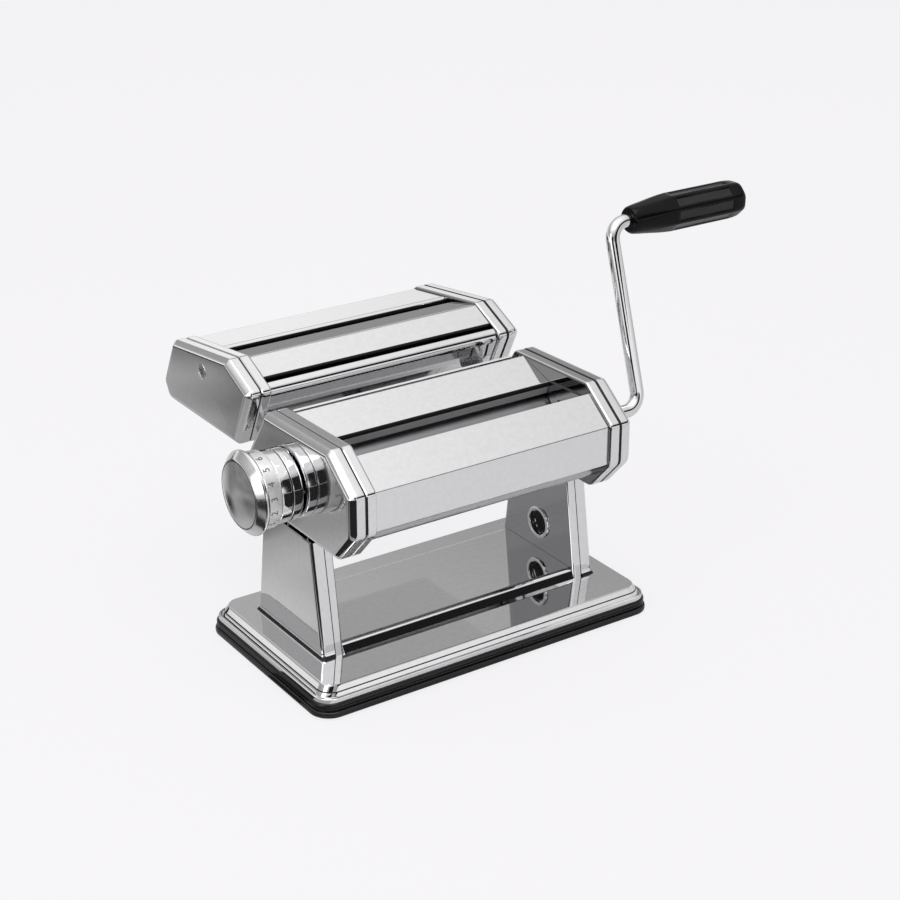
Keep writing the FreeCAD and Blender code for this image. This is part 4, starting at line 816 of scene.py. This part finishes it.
# Covers: bent sheets between the side frames
def insetPoints(outline, inset):
    result = []
    for number in range(len(outline)):
        here, _, _, leftIn, leftOut = cornerRuns(outline, number)
        result.append(here + (leftIn + leftOut) * inset / (1 + leftIn.dot(leftOut)))
    return result


def pointAt(start, end, y):
    return Vector((y, start.y + (end.y - start.y) * (y - start.x) / (end.x - start.x)))


halfFeed = 75
halfBetweenHooks = 71.9
mainCover = insetPoints(mainOutline, 2.2)
cutterCover = insetPoints(cutterOutline, 1.2)
frontTop = pointAt(mainCover[1], mainCover[2], -43.2)
brow = cutterCover[2]
chin = cutterCover[3]
split = brow.lerp(chin, 0.58)
slotBack = pointAt(cutterCover[1], cutterCover[0], 90.5)
slotMiddle = pointAt(brow, cutterCover[1], 49.7)
slotFront = pointAt(brow, cutterCover[1], 48.2)
lipBefore, lipAfter = 0.6, 0.35
lipRun = (mainCover[2] - frontTop).normalized()
covers = {
    "frontCover": {
        "path": [frontTop, mainCover[2], (mainCover[2].x, 100.5), (-44, 100.5)],
        "bends": [1.5] * 4, "half": halfFeed, "body": "frame", "nodes": ["front_cover"], "paint": (),
    },
    "backGuide": {
        "path": [(20.5, 136.2), (19.5, 139.8), (-7.4, 131.8), (-6.6, 129.2), (-4.9, 124.6)],
        "bends": (1.6, 1.6, 1.2, 1, 1), "half": halfFeed, "body": "frame", "nodes": ["back_guide"],
        "paint": ((-2, -1, 2), (-3, -2, 1)),
    },
    "rearCover": {
        "path": [mainCover[5], mainCover[6], mainCover[7], mainCover[0]],
        "bends": [4.0] * 4, "half": halfBetweenHooks, "body": "frame", "nodes": ["rear_cover"], "paint": (),
    },
    "cutterBackCover": {
        "path": [*cutterCover[4:], cutterCover[0], slotBack, (113.7, 138)],
        "bends": [2.2] * 5, "half": halfFeed, "body": "cutter_unit", "nodes": ["cutter_back_cover"],
        "paint": ((-2, -1, 1),),
    },
    "cutterMiddleCover": {
        "path": [(104.2, 138), (87.5, 152.0), (66.6, 155.9), slotMiddle, (76.2, 138.8)],
        "bends": (1, 1.2, 5, 0.9, 1), "half": halfFeed, "body": "cutter_unit",
        "nodes": ["cutter_middle_cover"], "paint": ((-2, -1, 1), (1, 0, 1)),
    },
    "cutterFrontCover": {
        "path": [(70, 138), slotFront, brow, split],
        "bends": (1, 0.9, 5.5, 1), "half": halfFeed, "body": "cutter_unit",
        "nodes": ["cutter_front_cover"], "paint": ((1, 0, 1),),
    },
    "cutterFrontApron": {
        "path": [split, chin],
        "bends": [2.2] * 2, "half": halfBetweenHooks, "body": "cutter_unit", "nodes": [], "paint": (),
    },
}
for name, cover in covers.items():
    points = [Vector(p) for p in cover["path"]]
    inner = [(points[start], points[end], index) for start, end, index in cover["paint"]]
    # The front cover's top lip takes the grey satin: painted shade
    if name == "frontCover":
        inner.append((frontTop - lipRun * lipBefore, frontTop + lipRun * lipAfter, 2))
    span = (-cover["half"], cover["half"])
    sheetPiece(name, cover["path"], cover["bends"], span, cover["body"], cover["nodes"], chrome, inner)
print("stage: covers")

# Knob: a turned body, a number ring and a domed cap
knobBodyProfile = (
    (-91.4, 12), (-91.4, 18.6), (-91.55, 19.2), (-91.9, 19.7), (-92.5, 20.0), (-93.3, 20.1),
    (-97.3, 20.2), (-97.6, 20.1), (-97.8, 19.5), (-98.3, 19.5), (-98.5, 20.1), (-98.8, 20.2),
    (-103.6, 20.15), (-104.2, 20.0), (-104.5, 19.6), (-104.9, 19.5), (-104.9, 14),
)
dialProfile = (
    (-104.9, 17.7), (-104.9, 20.6), (-105.1, 21.0), (-105.6, 21.2), (-112.0, 21.2), (-112.5, 21.05),
    (-112.7, 20.6), (-112.9, 20.2), (-112.9, 17.7),
)
capRim = (
    (-112.9, 19.4), (-112.9, 21.6), (-113.0, 22.2), (-113.4, 22.75), (-114.0, 23.1), (-114.7, 23.2),
    (-115.4, 23.05), (-116.0, 22.65), (-118.9, 19.5), (-119.3, 19.0), (-119.5, 18.6), (-119.45, 18.3),
    (-119.55, 18.0),
)
domeBase, domeRise, domeRadius = -119.6, 2.8, 17.8
domeSteps = (17.6, 16.8, 15.8, 14.4, 12.8, 11, 9, 7, 5, 3, 1)
capDome = [(domeBase - domeRise * (1 - (r / domeRadius) ** 2), r) for r in domeSteps]
# The floor of the body's groove and the step by the dial ring are near-black: painted shade
turnedPiece("knobBody", knobBodyProfile, dialAxis, "knob", ["knob_body"], chrome, dark=(8, 14))
turnedPiece("dialRing", dialProfile, dialAxis, "knob", ["dial_ring"], dialSilver)
capProfile = (*capRim, *capDome)
# The cap's back face and the groove round its dome are near-black: painted shade
turnedPiece("knobCap", capProfile, dialAxis, "knob", ["knob_cap"], chromeSatin, dark=(0, 10, 11))
digits = {
    "count": 9, "step": 22, "middle": 128, "size": 5.4,
    "radius": 21.2, "x": -109.6, "raise": 0.06, "half": 0.03,
}


def makeDigits():
    bm = bmesh.new()
    for number in range(digits["count"]):
        curve = bpy.data.curves.new("digit", "FONT")
        curve.body = str(number + 1)
        curve.size = digits["size"] * mm
        curve.align_x = "CENTER"
        curve.align_y = "CENTER"
        curve.extrude = digits["half"] * mm
        text = bpy.data.objects.new("digit", curve)
        mesh = bpy.data.meshes.new_from_object(text)
        angle = math.radians(digits["middle"] + (digits["count"] // 2 - number) * digits["step"])
        outward = Vector((0, math.cos(angle), math.sin(angle)))
        up = Vector((-1, 0, 0))
        right = up.cross(outward)
        centre = Vector((digits["x"], dialAxis[0], dialAxis[1])) * mm
        for vertex in mesh.vertices:
            u, v, w = vertex.co
            bend = u / (digits["radius"] * mm)
            spoke = outward * math.cos(bend) + right * math.sin(bend)
            vertex.co = centre + spoke * ((digits["radius"] + digits["raise"]) * mm + w) + up * v
        bm.from_mesh(mesh)
        bpy.data.objects.remove(text)
        bpy.data.meshes.remove(mesh)
    finishPiece("dialDigits", bm, "knob", [], digitGrey)


makeDigits()
print("stage: knob")

# Grip: eight long facets that swell to the far end
gripAxis = (6.851, 211.538)
gripLevels = (
    (139.0, 6.2, 0.95, 0), (139.4, 7.5, 0.95, 0), (140.4, 8.3, 0.95, 0), (144.0, 8.9, 0.9, 0),
    (150.0, 9.6, 0.8, 0), (158.0, 10.5, 0.55, 0), (163.0, 10.8, 0.3, 0),
    (167.0, 11.0, 0.2, 0), (168.4, 11.0, 0.2, 0),
    (169.2, 11.0, 0.2, 0.45), (190.0, 11.0, 0.2, 0.45), (209.0, 11.0, 0.2, 0.45), (209.8, 11.0, 0.2, 0),
    (214.0, 10.9, 0.3, 0), (217.0, 10.6, 0.45, 0), (219.0, 9.9, 0.55, 0), (219.8, 9.1, 0.6, 0),
    (220.0, 8.0, 0.6, 0), (220.0, 5.0, 0.6, 0),
)
grip = {
    "sides": 8, "flat": 0.955, "arcSteps": 5, "panelEdges": (0.1, 0.17, 0.83, 0.9),
    "panelFrom": 169.1, "panelTo": 209.1, "panelArea": 4e-5,
}
plugProfile = ((217.5, 4), (220.3, 6.9), (220.8, 6.6), (221, 6.0), (221, 1))


# One ring of the grip: rounded corners, and a flat that sinks between its edges
def gripRing(x, radius, soft, sink):
    sides, arcPoints = grip["sides"], grip["arcSteps"] + 1
    flat = radius * grip["flat"]
    corner = flat / math.cos(math.pi / sides)
    turns = [2 * math.pi * (number + 0.5) / sides for number in range(sides)]
    outline = [(corner * math.cos(a), corner * math.sin(a)) for a in turns]
    ring = outlineRing(outline, [flat * soft] * sides, 0, grip["arcSteps"])
    points = []
    for number in range(sides):
        arc = ring[number * arcPoints:(number + 1) * arcPoints]
        after = ring[(number + 1) * arcPoints % len(ring)]
        points += arc
        middle = ((arc[-1] + after) / 2).normalized()
        for share, drop in zip(grip["panelEdges"], (0, sink, sink, 0)):
            points.append(arc[-1].lerp(after, share) - middle * drop)
    return [Vector((x, gripAxis[0] + p.x, gripAxis[1] + p.y)) * mm for p in points]


def makeGrip():
    bm = bmesh.new()
    loftSolid(bm, [gripRing(*level) for level in gripLevels])
    # Faces of the sunken panels take the panel material: a rougher inset with a painted highlight
    for face in bm.faces:
        spots = [v.co.x / mm for v in face.verts]
        within = min(spots) > grip["panelFrom"] and max(spots) < grip["panelTo"]
        if len(spots) == 4 and within and face.calc_area() > grip["panelArea"]:
            face.material_index = 1
    finishPiece("gripBody", bm, "grip", ["grip"], gripBlack, gripPanelHighlight)


makeGrip()
turnedPiece("gripPlug", plugProfile, gripAxis, "grip", ["grip_end_plug"], gripBlack, 48)
print("stage: grip")

# Crank: a bent round rod with a square end and a thinner spindle inside the grip
crank = {
    "lean": math.radians(17.6), "radius": 4, "sides": 40,
    "arm": 126, "length": 106, "bend": 10, "steps": 14,
    "start": 91.0, "full": 92.0, "taper": 0.6, "shoulder": 138.7, "spindle": 3, "end": 215,
    "square": ((75.3, 2.6), (75.7, 3.0), (91.3, 3.0)),
}


# A point of the crank, given with its arm upright, leant to its place
def leanPoint(x, y, z):
    across, along = math.cos(crank["lean"]), math.sin(crank["lean"])
    return Vector((x, crankAxis[0] + y * across + z * along, crankAxis[1] - y * along + z * across)) * mm


def makeCrank():
    bend, arm, length = crank["bend"], crank["arm"], crank["length"]
    path = [(crank["full"], 0, 0)]
    turns = [math.pi / 2 * k / crank["steps"] for k in range(crank["steps"] + 1)]
    path += [(arm - bend + bend * math.sin(a), bend - bend * math.cos(a), a) for a in turns]
    for a in turns:
        path.append((arm + bend - bend * math.cos(a), length - bend + bend * math.sin(a), math.pi / 2 - a))
    path.append((crank["shoulder"], length, 0))
    rows = [(crank["start"], 0, 0, crank["radius"] - crank["taper"])]
    rows += [(*spot, crank["radius"]) for spot in path]
    rows += [(x, length, 0, crank["spindle"]) for x in (crank["shoulder"], crank["end"])]
    rings = []
    for x, z, slope, radius in rows:
        ring = []
        for angle in circleAngles(crank["sides"]):
            u, y = radius * math.cos(angle), radius * math.sin(angle)
            ring.append(leanPoint(x - u * math.sin(slope), y, z + u * math.cos(slope)))
        rings.append(ring)
    bm = bmesh.new()
    loftSolid(bm, rings)
    square = []
    for x, half in crank["square"]:
        corners = [(-half, -half), (half, -half), (half, half), (-half, half)]
        square.append([leanPoint(x, y, z) for y, z in corners])
    loftSolid(bm, square)
    finishPiece("crankRod", bm, "crank", ["crank_rod"], chromeFlat)


makeCrank()
print("stage: crank")

# Clamp grommet: a bright rim round a dark sleeve
sleeveRadius, sleeveFrom, grommetSides = 7.55, 77.9, 64
grommetProfile = (
    (91.0, 7.5), (80.4, 7.5), (80.2, 7.9), (79.6, 7.9), (79.4, 7.5), (78.8, 7.5), (78.6, 7.9),
    (78.0, 7.9), (77.8, 7.5), (77.0, 7.5), (76.6, 7.65), (76.35, 8.0), (76.3, 8.4), (76.3, 9.1),
    (76.45, 9.6), (76.8, 9.85), (77.5, 9.9), (77.5, 8.5), (91.0, 8.5), (91.0, 7.5),
)


def makeGrommet():
    bm = bmesh.new()
    spinProfile(bm, grommetProfile, clampAxis, grommetSides)
    piece = finishPiece("clampGrommet", bm, "frame", ["clamp_grommet"], chrome)
    # Faces inside the sleeve take the black material: painted shade inside the bore
    piece.data.materials.append(rubberAndBoreShade)
    for face in piece.data.polygons:
        spread = Vector((face.center.y / mm - clampAxis[0], face.center.z / mm - clampAxis[1])).length
        if spread < sleeveRadius and face.center.x / mm > sleeveFrom:
            face.material_index = 1


makeGrommet()
print("stage: grommet")
